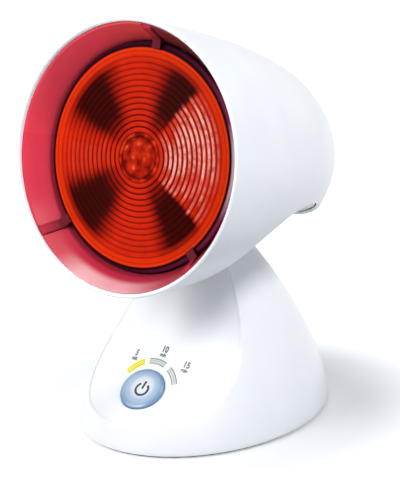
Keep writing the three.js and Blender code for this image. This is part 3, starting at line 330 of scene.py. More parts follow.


# Liner: its stops of painted glow, reflection and shade run round the rim, from the left (0) over the top
# (0.25) and the right (0.5)
linerLook = {
    "sockets": {"Roughness": 0.35, "Specular IOR Level": 0.1},
    "frontStops": [
        (0.0, "#f4485a"), (0.15, "#fa5060"), (0.235, "#e2504a"), (0.262, "#6a2a2c"), (0.33, "#3c1512"),
        (0.45, "#1f0806"), (0.6, "#8a2a30"), (0.67, "#b24a56"), (0.73, "#e0a6aa"), (0.8, "#e6b0b2"),
        (0.835, "#cc5860"), (0.88, "#cc384c"), (1.0, "#f04056"),
    ],
    "deepStops": [
        (0.0, "#ff4a60"), (0.15, "#ff5060"), (0.235, "#d84848"), (0.262, "#6a2a2c"), (0.33, "#3c1512"),
        (0.45, "#1f0806"), (0.6, "#64181f"), (0.7, "#b8344a"), (0.8, "#c83048"), (0.87, "#d03c50"),
        (1.0, "#ff465c"),
    ],
    "deepFrom": 7.5,  # mm behind the rim, where the deep stops begin to take over
    "deepTo": 12.5,
    "driftCell": 14.0,
    "driftColour": "#a81c30",
    "driftShare": 0.25,
}


def linerFinish():
    # Moulded polycarbonate in crimson. Its colours are painted glow from the red glass, with painted
    # reflection
    # and painted shade: bright at the left, pale below and dark at the upper right.
    material, tree, shader, coordinates = newFinish("linerPaintedGlow", linerLook["sockets"], headPlace)
    share = addNode(tree, "TexGradient", {"gradient_type": "RADIAL"}, [coordinates]).outputs["Fac"]
    front = setStops(addNode(tree, "ValToRGB", None, [share]), linerLook["frontStops"])
    deep = setStops(addNode(tree, "ValToRGB", None, [share]), linerLook["deepStops"])
    depth = addNode(tree, "SeparateXYZ", None, [coordinates]).outputs["Z"]
    within = addNode(tree, "MapRange", smoothStep, [depth, linerLook["deepFrom"], linerLook["deepTo"]])
    around = addNode(tree, "Mix", colourMix, {mixShare: within, mixUnder: front, mixOver: deep})
    drift = addNode(tree, "TexNoise", None, {"Vector": coordinates, "Scale": 1 / linerLook["driftCell"]})
    amount = addNode(tree, "Math", "MULTIPLY", [drift, linerLook["driftShare"]])
    colour = addNode(tree, "Mix", colourMix, {
        mixShare: amount, mixUnder: around, mixOver: linerLook["driftColour"]})
    tree.links.new(liveOutput(colour), shader.inputs["Base Color"])
    return material


finishes["crimson_liner"] = linerFinish()

# The clips carry the liner's crimson and painted glow, with painted shade that turns them dark towards the
# glass.
# Depths are in mm behind the rim.
clipLook = {
    "sockets": {"Roughness": 0.5, "Specular IOR Level": 0.05},
    "from": 2.4,
    "to": 22.0,
    "stops": [(0.0, "#b02c3e"), (0.4, "#8c2434"), (0.6, "#541620"), (1.0, "#3c101a")],
    "silvered": False,
}
# The dish behind the glass: bright silvered glass, dark purple towards its front rim
dishLook = {
    "sockets": {"Roughness": 0.25},
    "from": 24.0,
    "to": 30.0,
    "stops": [(0.0, "#2a0d14"), (0.4, "#3a1820"), (1.0, "#bdc1c5")],
    "silvered": True,
}


def depthFinish(name, look):
    # A colour, and metal where it is silvered, that changes with the depth behind the rim
    material, tree, shader, coordinates = newFinish(name, look["sockets"], headPlace)
    depth = addNode(tree, "SeparateXYZ", None, [coordinates]).outputs["Z"]
    share = addNode(tree, "MapRange", None, [depth, look["from"], look["to"]])
    colour = setStops(addNode(tree, "ValToRGB", None, [share]), look["stops"])
    tree.links.new(liveOutput(colour), shader.inputs["Base Color"])
    if look["silvered"]:
        tree.links.new(liveOutput(share), shader.inputs["Metallic"])
    return material


finishes["clipCrimson"] = depthFinish("clipPaintedShade", clipLook)
finishes["mirror_glass"] = depthFinish("silveredGlass", dishLook)


# Lens: its depths are behind the shade's rim
lens = {
    "crown": 12.8,
    "edge": 14.6,
    "radius": 58.5,
    "rimRadius": 60.9,
    "rimFront": 16.4,
    "rimBack": 19.8,
    "rimRound": 0.8,
    "thickness": 3.2,
    "ribPitch": 3.05,
    "ribStart": 13.2,
    "ribEnd": 55.9,
    "ribDepth": 0.3,
    "spokes": 128,
    "ringStep": 0.38,
    "backSteps": 8,
}
# The glass holds painted reflection and painted shade. A sector of the glass is painted dark where the mirror
# behind it sends the light away. Its angles are in degrees, 0 at the right and 90 at the top: its two edges
# and how wide each of them fades. A span holds the values between which something changes, and then what it
# changes from and to, where that isn't from 0 to 1.
lensLook = {
    "sockets": {"Roughness": 0.3, "IOR": 1.5, "Specular IOR Level": 0.01},
    "darkSectors": [(298, 328, 22, 5), (206, 248, 22, 26), (124, 164, 26, 22), (53, 80, 6, 26)],
    "wander": 0.006,  # of a turn, by which a sector's edges differ from ring to ring
    "lightGrey": "#f0f0f0",
    "darkGrey": "#101010",
    "sectorDepth": [
        (0.2, "#303030"), (0.36, "#d0d0d0"), (0.5, "#ffffff"), (0.84, "#ffffff"), (0.96, "#202020"),
    ],
    "body": [(0.0, "#280402"), (0.2, "#4a0804"), (0.6, "#aa1c0b"), (1.0, "#dc2a0d")],
    "mottleCell": 9.09,  # mm
    "mottleDetail": 3.0,
    "mottleSpan": (0.3, 0.7, 0.82, 1.0),
    "crestSpan": (0.25, 0.75),
    # A ring's lighter crest is a painted highlight
    "crestShare": 0.1,  # how much lighter a ring's crest is
    "edgeColour": "#ee3a0c",  # of the smooth outermost band
    "edgeSpan": (50.0, lens["radius"], 0.0, 0.8),
    # Painted shade in the grooves between the rings
    "groove": "#3c0604",
    "grooveSpan": (0.34, 0.04),
    "grooveFade": (lens["ribStart"], lens["ribEnd"], 0.95, 0.25),
    # Painted highlights on the rings: their colour, where round the turn they lie, and how far out
    "pale": "#ffc4b4",
    "highlightStops": [
        (0.0, "#303030"), (0.05, "#000000"), (0.385, "#000000"), (0.455, "#f0f0f0"), (0.535, "#f8f8f8"),
        (0.575, "#505050"), (0.612, "#b8b8b8"), (0.632, "#000000"), (0.93, "#000000"), (1.0, "#303030"),
    ],
    "highlightFrom": 14.0,
    "highlightTo": 54.0,
    "highlightFade": 9.0,
    "highlightTurn": 0.0013,  # how far the pale strokes climb round for each mm outwards
    "highlightJitter": 0.07,
    "speckleCell": 3.57,  # mm
    "speckleSpan": (0.36, 0.56, 0.3, 1.0),
    "blotchCell": 5.88,  # mm
    "middle": [(0.36, "#701008"), (0.5, "#ac1e0c"), (0.62, "#ce3010"), (0.74, "#ff7a48")],
    "middleLine": 11.0,
    "lineSpan": (0.8, 0.2, 0.0, 0.7),
    "rimSpan": (lens["radius"] - 1.1, lens["radius"] - 0.5),
    # The rim's painted highlight: magenta and pale at the right
    "rim": [
        (0.0, "#3a1224"), (0.27, "#3c1426"), (0.34, "#5c2038"), (0.42, "#a03860"), (0.46, "#f4d4de"),
        (0.52, "#f0c8d4"), (0.56, "#a03860"), (0.64, "#6a2444"), (0.74, "#3c1426"), (1.0, "#3a1224"),
    ],
    "rimInside": "#22080e",
    "rimInsideSpan": (lens["radius"] + 0.3, lens["radius"] + 1.1),
}
ringWave = math.pi / 10  # how long one ring of a wave texture is at a scale of 1


def sectorStops():
    # Stops round a full turn for a radial gradient, which starts at the left and runs over the top
    stops = []
    for low, high, fadeLow, fadeHigh in lensLook["darkSectors"]:
        for angle, fade, first, last in ((high, fadeHigh, "lightGrey", "darkGrey"),
                                         (low, fadeLow, "darkGrey", "lightGrey")):
            for side, grey in ((fade / 2, first), (-fade / 2, last)):
                stops.append((((180 - angle - side) % 360) / 360, lensLook[grey]))
    return sorted(stops)


def lensPlaces(tree, coordinates):
    # Where a point of the glass is: from the axis, round the turn, and on its ring
    radius = fromAxis(tree, coordinates)
    outwards = addNode(tree, "Math", "SUBTRACT", [radius, lens["ribStart"]])
    ring = addNode(tree, "Math", "SNAP", [outwards, lens["ribPitch"]])
    dice = addNode(tree, "TexWhiteNoise", {"noise_dimensions": "1D"}, {"W": ring}).outputs["Value"]
    # One wave for each ring: 0 in the groove and 1 on the crest
    wave = addNode(tree, "TexWave", {"wave_type": "RINGS", "rings_direction": "Z"}, {
        "Vector": coordinates, "Scale": ringWave / lens["ribPitch"],
        "Phase Offset": -fullTurn * lens["ribStart"] / lens["ribPitch"]}).outputs["Fac"]
    return {
        "coordinates": coordinates,
        "radius": radius,
        "outwards": outwards,
        "turn": addNode(tree, "TexGradient", {"gradient_type": "RADIAL"}, [coordinates]).outputs["Fac"],
        "jitter": addNode(tree, "Math", "SUBTRACT", [dice, 0.5]),
        "wave": wave,
        "crest": addNode(tree, "MapRange", smoothStep, [wave, *lensLook["crestSpan"]]),
    }


def glassBody(tree, at, sector):
    # The red of the glass: mottled, painted dark in the sectors, lighter on the crests as a painted
    # highlight, and brightest at the edge
    share = addNode(tree, "Math", "DIVIDE", [at["radius"], lens["radius"]])
    depth = setStops(addNode(tree, "ValToRGB", None, [share]), lensLook["sectorDepth"])
    light = addNode(tree, "Mix", colourMix, {
        mixShare: depth, mixUnder: lensLook["lightGrey"], mixOver: sector})
    mottle = addNode(tree, "TexNoise", None, {
        "Vector": at["coordinates"], "Scale": 1 / lensLook["mottleCell"], "Detail": lensLook["mottleDetail"]})
    uneven = addNode(tree, "MapRange", None, [mottle, *lensLook["mottleSpan"]])
    lit = addNode(tree, "Math", "MULTIPLY", [light, uneven])
    level = addNode(tree, "Math", "MULTIPLY_ADD", [at["crest"], lensLook["crestShare"], lit])
    body = setStops(addNode(tree, "ValToRGB", None, [level]), lensLook["body"])
    nearEdge = addNode(tree, "MapRange", smoothStep, [at["radius"], *lensLook["edgeSpan"]])
    return addNode(tree, "Mix", colourMix, {
        mixShare: nearEdge, mixUnder: body, mixOver: lensLook["edgeColour"]})


def addGrooves(tree, at, below):
    # A dark line between each two rings, fainter outwards: painted shade in the grooves
    line = addNode(tree, "MapRange", smoothStep, [at["wave"], *lensLook["grooveSpan"]])
    fading = addNode(tree, "MapRange", None, [at["radius"], *lensLook["grooveFade"]])
    groove = addNode(tree, "Math", "MULTIPLY", [line, fading])
    return addNode(tree, "Mix", colourMix, {mixShare: groove, mixUnder: below, mixOver: lensLook["groove"]})


def addPaintedHighlights(tree, at, sector, below):
    # Painted highlights: pale crescents on the rings of the right-hand sector, faint ones on the left
    climb = addNode(tree, "Math", "MULTIPLY_ADD", [at["outwards"], lensLook["highlightTurn"], at["turn"]])
    swept = addNode(tree, "Math", "MULTIPLY_ADD", [at["jitter"], lensLook["highlightJitter"], climb])
    stroke = setStops(addNode(tree, "ValToRGB", None, [swept]), lensLook["highlightStops"])
    middle = (lensLook["highlightFrom"] + lensLook["highlightTo"]) / 2
    half = middle - lensLook["highlightFrom"]
    reach = addNode(tree, "MapRange", smoothStep, [
        apart(tree, at["radius"], middle), half, half - lensLook["highlightFade"]])
    speckle = addNode(tree, "TexNoise", None, {
        "Vector": at["coordinates"], "Scale": 1 / lensLook["speckleCell"]})
    broken = addNode(tree, "MapRange", None, [speckle, *lensLook["speckleSpan"]])
    for part in (reach, broken, sector, at["crest"]):
        stroke = addNode(tree, "Math", "MULTIPLY", [stroke, part])
    return addNode(tree, "Mix", colourMix, {mixShare: stroke, mixUnder: below, mixOver: lensLook["pale"]})


def plainMiddle(tree, at):
    # Inside the rings the glass is blotched, with one line round it
    blotch = addNode(tree, "TexNoise", None, {
        "Vector": at["coordinates"], "Scale": 1 / lensLook["blotchCell"]})
    colour = setStops(addNode(tree, "ValToRGB", None, [blotch]), lensLook["middle"])
    off = apart(tree, at["radius"], lensLook["middleLine"])
    line = addNode(tree, "MapRange", None, [off, *lensLook["lineSpan"]])
    return addNode(tree, "Mix", colourMix, {mixShare: line, mixUnder: colour, mixOver: lensLook["groove"]})


def glassRim(tree, at):
    # The smooth rim carries a painted highlight, pale in one place at the right, and is darkest beside the
    # glass
    colour = setStops(addNode(tree, "ValToRGB", None, [at["turn"]]), lensLook["rim"])
    outer = addNode(tree, "MapRange", None, [at["radius"], *lensLook["rimInsideSpan"]])
    return addNode(tree, "Mix", colourMix, {
        mixShare: outer, mixUnder: lensLook["rimInside"], mixOver: colour})


def lensFinish():
    # Pressed ruby glass, ringed in front, with painted reflection: four sectors are painted dark for the
    # faceted mirror behind it, and the rings get painted highlights and painted shade
    material, tree, shader, coordinates = newFinish("pressedRubyGlass", lensLook["sockets"], headPlace)
    at = lensPlaces(tree, coordinates)
    wandering = addNode(tree, "Math", "MULTIPLY_ADD", [at["jitter"], lensLook["wander"], at["turn"]])
    sector = setStops(addNode(tree, "ValToRGB", None, [wandering]), sectorStops(), "EASE")
    rings = addPaintedHighlights(tree, at, sector, addGrooves(tree, at, glassBody(tree, at, sector)))
    ringed = addNode(tree, "Math", "GREATER_THAN", [at["radius"], lens["ribStart"]])
    glass = addNode(tree, "Mix", colourMix, {
        mixShare: ringed, mixUnder: plainMiddle(tree, at), mixOver: rings})
    onRim = addNode(tree, "MapRange", None, [at["radius"], *lensLook["rimSpan"]])
    colour = addNode(tree, "Mix", colourMix, {mixShare: onRim, mixUnder: glass, mixOver: glassRim(tree, at)})
    tree.links.new(liveOutput(colour), shader.inputs["Base Color"])
    return material


finishes["red_glass"] = lensFinish()

# Timer: the windows and the print round the button
timer = {
    "innerRadius": 16.4,
    "outerRadius": 19.6,
    "spacing": math.radians(44.5),
    "halfSpan": math.radians(16.5),
    "windowGap": 0.12,
    "labelPlaces": {"5": (-16.1, 19.95), "10": (1.2, 25.3), "15": (17.4, 21.0)},  # from the button's middle
    "unitBelow": 3.15,
    "labelSize": 4.7,
    "unitSize": 3.1,
    "labelWidth": 0.86,  # of a plain letter's
    "labelWeight": 0.19,  # how far a letter's outline is pushed out
    "haloReach": 2.8,
    "haloShare": 0.9,
    "printHeight": 0.06,
    "edgeRadius": 0.25,
}
# A window's colours, and how they follow each other from its inner to its outer lip
lightLooks = {
    "amberAcrylic": {"lip": "#d2c024", "lit": "#fff01e", "line": "#a89c28"},
    "smokedAcrylic": {"lip": "#8c918e", "lit": "#d0d4d0", "line": "#868b88"},
}
lightStops = [
    (0.14, "lip"), (0.26, "lit"), (0.42, "lit"), (0.5, "line"), (0.58, "lit"), (0.74, "lit"), (0.86, "lip"),
]
lightSockets = {"Roughness": 0.25, "IOR": 1.49}


def lightFinish(name):
    # Tinted acrylic light pipe: bright along both sides of its middle line, darker at its lips. In the amber
    # window the bright yellow is painted glow, for the LED behind it.
    material, tree, shader, coordinates = newFinish(name, lightSockets, panelPlace)
    share = addNode(tree, "MapRange", None, [
        fromAxis(tree, coordinates), timer["innerRadius"], timer["outerRadius"]])
    colour = setStops(addNode(tree, "ValToRGB", None, [share]), [
        (place, lightLooks[name][key]) for place, key in lightStops])
    tree.links.new(liveOutput(colour), shader.inputs["Base Color"])
    return material


finishes["amber_light"] = lightFinish("amberAcrylic")
finishes["grey_light"] = lightFinish("smokedAcrylic")

button = {
    "radius": 12.6,
    "crown": 3.2,
    "shoulder": 1.3,
    "skirt": 3.6,
    "flangeRadius": 14.0,
    "flangeThickness": 1.2,
    "wall": 1.5,
    "stemRadius": 2.4,
    "stemEnd": -3.0,
    "spokes": 96,
    "domeSteps": 20,
    "symbolRadius": 3.7,
    "symbolStroke": 1.3,
    "symbolShift": (1.6, -1.0),
    "symbolGap": math.radians(36),
    "symbolSteps": 40,
    "barLength": 5.0,
    "barFoot": 0.2,
    "barSteps": 8,
    "printHeight": 0.05,
}
buttonLook = {
    "sockets": {"Roughness": 0.3, "Coat Weight": 0.3, "Coat Roughness": 0.12},
    "highlightShift": (-0.9, -0.5, 0.0),
    "reach": 14.2,
    "stops": [(0.0, "#eef0f6"), (0.34, "#d8dee8"), (0.62, "#9db4cb"), (0.84, "#7090b0"), (1.0, "#3c6a98")],
}


def buttonFinish():
    # Blue lacquer under clear acrylic, with a painted highlight, pale, where it faces up, and painted shade,
    # deep, at its edge
    material, tree, shader, coordinates = newFinish("blueAcrylicPaintedLight", buttonLook["sockets"], panelPlace)
    shifted = addNode(tree, "VectorMath", "ADD", [coordinates, buttonLook["highlightShift"]])
    share = addNode(tree, "MapRange", None, [fromAxis(tree, shifted), 0.0, buttonLook["reach"]])
    colour = setStops(addNode(tree, "ValToRGB", None, [share]), buttonLook["stops"], "EASE")
    tree.links.new(liveOutput(colour), shader.inputs["Base Color"])
    return material


finishes["blue_button"] = buttonFinish()

panelLook = {"colour": "#f1f2f4", "sockets": {"Roughness": 0.32, "IOR": 1.5}}
# The windows round the button, each turned from the top to the left
marks = [
    {"node": "timer_light_5", "turn": timer["spacing"], "finish": "amber_light", "halo": "#fdf9b8"},
    {"node": "timer_light_10", "turn": 0, "finish": "grey_light", "halo": "#f6f7e2"},
    {"node": "timer_light_15", "turn": -timer["spacing"], "finish": "grey_light", "halo": "#f6f7e2"},
]


def panelFinish():
    # The shell's moulded ABS, tinted by the light that the windows spill round them
    material, tree, shader, coordinates = newFinish("mouldedWhitePanel", panelLook["sockets"], panelPlace)
    middle = (timer["innerRadius"] + timer["outerRadius"]) / 2
    half = timer["outerRadius"] - middle
    off = apart(tree, fromAxis(tree, coordinates), middle)
    across = addNode(tree, "MapRange", smoothStep, [
        off, half + timer["haloReach"], half, 0.0, timer["haloShare"]])
    halfAngle = timer["halfSpan"] + timer["haloReach"] / timer["outerRadius"]
    colour = panelLook["colour"]
    for mark in marks:
        # The angle round the button from the middle of the window
        spun = addNode(tree, "VectorRotate", {"rotation_type": "Z_AXIS"}, {
            "Vector": coordinates, "Angle": -fullTurn / 4 - mark["turn"]})
        parts = addNode(tree, "SeparateXYZ", None, [spun])
        swing = addNode(tree, "Math", "ARCTAN2", [parts.outputs["Y"], parts.outputs["X"]])
        aside = addNode(tree, "Math", "ABSOLUTE", [swing])
        along = addNode(tree, "MapRange", smoothStep, [aside, halfAngle, timer["halfSpan"]])
        share = addNode(tree, "Math", "MULTIPLY", [across, along])
        colour = addNode(tree, "Mix", colourMix, {mixShare: share, mixUnder: colour, mixOver: mark["halo"]})
    tree.links.new(liveOutput(colour), shader.inputs["Base Color"])
    return material


finishes["haloPanel"] = panelFinish()
print("materials:", len(finishes))


# Mesh making
def makeObject(name, points, faces, place=None):
    # A mesh object from points in mm, welded, with its faces turned outwards
    mesh = bpy.data.meshes.new(name)
    move = place or Matrix.Identity(4)
    mesh.from_pydata([(move @ Vector(point)) * mm for point in points], [], faces)
    return linkMesh(name, mesh)


def linkMesh(name, mesh, weldAt=weld):
    # An object for a mesh, whose doubles are merged and whose faces are turned outwards
    shape = bmesh.new()
    shape.from_mesh(mesh)
    bmesh.ops.remove_doubles(shape, verts=shape.verts, dist=weldAt * mm)
    bmesh.ops.recalc_face_normals(shape, faces=shape.faces)
    shape.to_mesh(mesh)
    shape.free()
    made = bpy.data.objects.new(name, mesh)
    bpy.context.scene.collection.objects.link(made)
    return made


def settle(made):
    # Turns the modified shape into the object's plain mesh and takes its modifiers off
    graph = bpy.context.evaluated_depsgraph_get()
    mesh = bpy.data.meshes.new_from_object(made.evaluated_get(graph))
    made.modifiers.clear()
    made.data = mesh
    return made


def combine(target, other, operation="DIFFERENCE"):
    # Cuts the second closed shape from the first, joins them or keeps what both hold, and uses up the second
    joint = target.modifiers.new("combine", "BOOLEAN")
    joint.operation = operation
    joint.solver = "MANIFOLD"
    joint.object = other
    settle(target)
    bpy.data.objects.remove(other)
    return target


def softenEdges(made, radius, angle=40, segments=2):
    # Rounds the edges that turn by more than an angle, in degrees
    bevel = made.modifiers.new("bevel", "BEVEL")
    bevel.width = radius * mm
    bevel.segments = segments
    bevel.limit_method = "ANGLE"
    bevel.angle_limit = math.radians(angle)
    bevel.use_clamp_overlap = True
    return settle(made)


def finishPiece(made, body, finish, replaced=(), smooth=32):
    # Gives a piece its finish and its body, and hides the nodes that it stands for
    mesh = made.data
    mesh.materials.clear()
    mesh.materials.append(finishes[finish])
    mesh.shade_smooth()
    mesh.set_sharp_from_angle(angle=math.radians(smooth))
    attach(made, body)
    if replaced:
        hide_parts(*replaced)
    return made


def shares(steps):
    # Even shares from 0 to 1
    return [i / steps for i in range(steps + 1)]


def gridFaces(rings, count, closeRings=False, closeCount=True):
    # The faces between rings of points, each with the same count
    faces = []
    for ring in range(rings if closeRings else rings - 1):
        for i in range(count if closeCount else count - 1):
            here, there = ring * count, ((ring + 1) % rings) * count
            faces.append((here + i, here + (i + 1) % count, there + (i + 1) % count, there + i))
    return faces


def lathe(name, profile, place, steps=96, ring=False, start=0.0, sweep=fullTurn):
    # Turns [radius, along] points about the z axis. A part turn gets flat ends, and its profile is a ring.
    whole = sweep >= fullTurn
    turns = steps if whole else steps + 1
    points = []
    for i in range(turns):
        angle = start + sweep * i / steps
        points += [(r * math.cos(angle), r * math.sin(angle), z) for r, z in profile]
    faces = gridFaces(turns, len(profile), closeRings=whole, closeCount=ring)
    if not whole:
        last = (turns - 1) * len(profile)
        faces += [tuple(range(len(profile))), tuple(range(last, last + len(profile)))]
    return makeObject(name, points, faces, place)


def loft(name, rings, place=None):
    # Joins rings of equal count and closes both ends with a fan
    count = len(rings[0])
    points = [point for ring in rings for point in ring]
    faces = gridFaces(len(rings), count)
    for ring in (0, len(rings) - 1):
        middle = sum((Vector(p) for p in rings[ring]), Vector()) / count
        points.append(middle)
        faces += [(ring * count + i, ring * count + (i + 1) % count, len(points) - 1) for i in range(count)]
    return makeObject(name, points, faces, place)


def tube(name, rings, place=None):
    # Joins closed rings of equal count, with flat ends
    count = len(rings[0])
    last = (len(rings) - 1) * count
    faces = [tuple(range(count)), tuple(range(last, last + count))] + gridFaces(len(rings), count)
    return makeObject(name, [point for ring in rings for point in ring], faces, place)


def prism(name, outline, low, high, place):
    # Pushes a flat outline along the z axis of its placement
    return tube(name, [[(x, y, z) for x, y in outline] for z in (low, high)], place)


def box(low, high, place=None):
    outline = [(low[0], low[1]), (high[0], low[1]), (high[0], high[1]), (low[0], high[1])]
    return prism("box", outline, low[2], high[2], place)


def rod(radius, low, high, place, steps=64):
    return lathe("rod", [(0, low), (radius, low), (radius, high), (0, high)], place, steps)


cornerShare = 0.45  # of an edge, the most that the rounding of one corner takes
nearlyStraight = math.radians(160)


def roundedProfile(profile, radius, ring=False, steps=3):
    # Rounds the corners of a profile, apart from nearly straight ones and, where it is open, its ends
    count = len(profile)
    made = []
    for i, corner in enumerate(profile):
        here = Vector(corner)
        before = Vector(profile[i - 1]) - here
        after = Vector(profile[(i + 1) % count]) - here
        isEnd = not ring and i in (0, count - 1)
        if isEnd or before.angle(after) > nearlyStraight:
            made.append(corner)
            continue
        reach = min(radius, before.length * cornerShare, after.length * cornerShare)
        start = here + before.normalized() * reach
        end = here + after.normalized() * reach
        for t in shares(steps):
            made.append(tuple((1 - t) ** 2 * start + 2 * t * (1 - t) * here + t * t * end))
    return made


def smoothLine(points, stepsEach):
    # A centripetal curve through points, with even steps between each two
    dots = [Vector(p) for p in points]
    dots = [2 * dots[0] - dots[1], *dots, 2 * dots[-1] - dots[-2]]
    made = []
    for i in range(1, len(dots) - 2):
        before, here, there, after = dots[i - 1:i + 3]
        knots = [max((q - p).length, weld) ** 0.5 for p, q in ((before, here), (here, there), (there, after))]
        leave = ((here - before) / knots[0] - (there - before) / (knots[0] + knots[1])
                 + (there - here) / knots[1]) * knots[1]
        arrive = ((there - here) / knots[1] - (after - here) / (knots[1] + knots[2])
                  + (after - there) / knots[2]) * knots[1]
        for k in range(stepsEach):
            t = k / stepsEach
            made.append((2 * t ** 3 - 3 * t ** 2 + 1) * here + (t ** 3 - 2 * t ** 2 + t) * leave
                        + (3 * t ** 2 - 2 * t ** 3) * there + (t ** 3 - t ** 2) * arrive)
    return made + [dots[-2]]


def refineNode(node, finish, radius=0.25, angle=35):
    # A copy of a frame node with welded corners and softened edges, which stands for it
    source = frame["nodes"][node]
    made = linkMesh(node + "_fine", source.data.copy(), copyWeld)
    if radius:
        softenEdges(made, radius, angle)
    return finishPiece(made, source["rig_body"], finish, [node])


# Stand shell: a bell of oval sections with a swept face cut into its front
def bellShare(z):
    # How much of its foot's width and depth the bell has left at a height
    return 1 - (max(z, 0) / standSizes["height"]) ** standSizes["power"]


def bell(inset, low, high, rings=64, spokes=144):
    # The bell's form between two heights, some mm inside its outer face
    made = []
    step = standSizes["slopeStep"]
    angles = [fullTurn * k / spokes for k in range(spokes)]
    for share in shares(rings):
        z = low + (high - low) * share
        slope = standSizes["halfWidth"] * (bellShare(z + step) - bellShare(z)) / step
        sunk = inset * math.hypot(1, slope)
        back = standSizes["centreBack"] + standSizes["lean"] * z
        across = standSizes["halfWidth"] * bellShare(z) - sunk
        deep = standSizes["halfDepth"] * bellShare(z) - sunk
        made.append([(across * math.cos(a), back + deep * math.sin(a), z) for a in angles])
    return loft("bell", made, standPlace)


def panelRise(across, along):
    # How far the panel's face rises over the plane of its middle: swept up its length, crowned across
    sweep = along ** 2 / (2 * panelSizes["sweepRadius"]) * (1 - along / panelSizes["sweepFade"])
    crown = across ** 2 / (2 * panelSizes["crownRadius"]) * (1 + along / panelSizes["crownGather"])
    return sweep - crown


def underFace(depth, alongSteps=96, acrossSteps=64):
    # All that lies deeper than a depth under the panel's face
    low, high, side = -panelSizes["lowerReach"], panelSizes["upperReach"], panelSizes["sideReach"]
    bottom = -panelSizes["depthReach"]
    places = [side * (2 * share - 1) for share in shares(acrossSteps)]
    rings = []
    for share in shares(alongSteps):
        along = low + (high - low) * share
        ring = [(x, along, panelRise(x, along) - depth) for x in places]
        rings.append(ring + [(side, along, bottom), (-side, along, bottom)])
    return loft("face", rings, panelPlace)


def alongX(back, height):
    # A placement whose z axis points to +X, from a point on the middle plane
    return standPlace @ framePlace(Vector((0, 1, 0)), Vector((0, 0, 1)), Vector((1, 0, 0)),
                                   Vector((0, back, height)))


slotSizes = {
    "earRadius": 11.0,
    "clearance": 1.5,
    "frontBack": -4.0,
    "flatShare": 1 / 3,  # of the ears' room, flat under the hinge
    "upTilt": math.radians(20),
    "armBack": 119.5,
    "armDown": 37.0,
}
glandSizes = {
    "height": 13.0,
    "radius": 5.4,
    "padRadius": 8.4,
    "padProud": 2.4,
}


def neckSlot():
    # The room in the neck for the bracket's ears and for its arm, which sinks as the shade tilts up
    back, height = standSizes["hingeBack"], hinge.z
    reach = slotSizes["earRadius"] + slotSizes["clearance"]
    angle = headSizes["tilt"] + slotSizes["upTilt"]
    armBack = slotSizes["armBack"] - headSizes["pivotBehindRim"]
    armDown = slotSizes["armDown"] - headSizes["pivotBelowAxis"]
    armY = armBack * math.cos(angle) - armDown * math.sin(angle)
    armZ = -armBack * math.sin(angle) - armDown * math.cos(angle)
    front, rear = back + slotSizes["frontBack"], back + standSizes["halfDepth"]
    top = height + standSizes["height"]
    floorZ = height + armZ - slotSizes["clearance"]
    outline = [(front, top), (front, height), (back, height - reach),
               (back + reach * slotSizes["flatShare"], height - reach), (back + armY, floorZ),
               (rear, floorZ), (rear, top)]
    half = standSizes["ribGap"]
    made = prism("slot", outline, -half, half, alongX(0, 0))
    return combine(made, rod(reach, -half, half, alongX(back, height)), "UNION")


def glandPlace():
    # A placement whose z axis points to the back, on the middle of the inlet there
    return standPlace @ framePlace(Vector((1, 0, 0)), Vector((0, 0, -1)), Vector((0, 1, 0)),
                                   Vector((0, 0, glandSizes["height"])))


def glandSpan():
    # From where to where the pad round the inlet reaches, through the back wall
    back = standSizes["centreBack"] + standSizes["lean"] * glandSizes["height"]
    wallBack = back + standSizes["halfDepth"] * bellShare(glandSizes["height"])
    return wallBack - 2 * standSizes["wall"], wallBack + glandSizes["padProud"]


def standOuter():
    # The bell with its swept face, cut level at the hinge and rounded over it
    back, height = standSizes["hingeBack"], hinge.z
    made = combine(bell(0, standSizes["foot"], standSizes["height"] - overrun), underFace(0), "INTERSECT")
    reach = standSizes["halfDepth"] * 2
    trim = box((-reach, -reach, -overrun), (reach, reach, height), standPlace)
    dome = rod(standSizes["neckTopRadius"], -standSizes["halfWidth"], standSizes["halfWidth"],
               alongX(back, height), standSizes["neckSpokes"])
    return combine(made, combine(trim, dome, "UNION"), "INTERSECT")


def panelBlock(upperEnd):
    # All that lies below a line across the panel
    side, deep = panelSizes["sideReach"], panelSizes["depthReach"]
    return box((-side, -panelSizes["lowerReach"], -deep), (side, upperEnd, deep), panelPlace)


def addStandShell():
    inside, outside = glandSpan()
    made = standOuter()
    cavity = combine(bell(standSizes["wall"], standSizes["foot"] - overrun, standSizes["cavityTop"]),
                     underFace(panelSizes["thickness"]), "INTERSECT")
    for side in (1, -1):
        near, far = side * standSizes["ribGap"], side * (standSizes["ribGap"] + standSizes["ribThickness"])
        combine(cavity, box((min(near, far), -standSizes["halfDepth"], standSizes["ribFoot"]),
                            (max(near, far), standSizes["halfDepth"], standSizes["height"]), standPlace))
    combine(made, cavity)
    combine(made, rod(glandSizes["padRadius"], inside, outside, glandPlace()), "UNION")
    pocket = combine(bell(panelSizes["border"], standSizes["foot"], standSizes["cavityTop"]),
                     panelBlock(panelSizes["upperEnd"] + panelSizes["seam"]), "INTERSECT")
    combine(pocket, underFace(panelSizes["thickness"] + gap))
    combine(made, pocket)
    combine(made, neckSlot())
    combine(made, rod(glandSizes["radius"] + gap, inside - overrun, outside + overrun, glandPlace()))
    softenEdges(made, standSizes["edgeRadius"], angle=30)
    return finishPiece(made, "stand", "white_plastic", ["stand_shell"], smooth=40)


def arcBar(inner, outer, turn, halfSpan, steps=24):
    # A bar bent round the button and right through the panel, turned from the top to the left
    angles = [fullTurn / 4 + turn + halfSpan * (2 * share - 1) for share in shares(steps)]
    outline = [(outer * math.cos(a), outer * math.sin(a)) for a in angles]
    outline += [(inner * math.cos(a), inner * math.sin(a)) for a in reversed(angles)]
    reach = 2 * panelSizes["thickness"]
    return prism("bar", outline, -reach, reach, panelPlace)


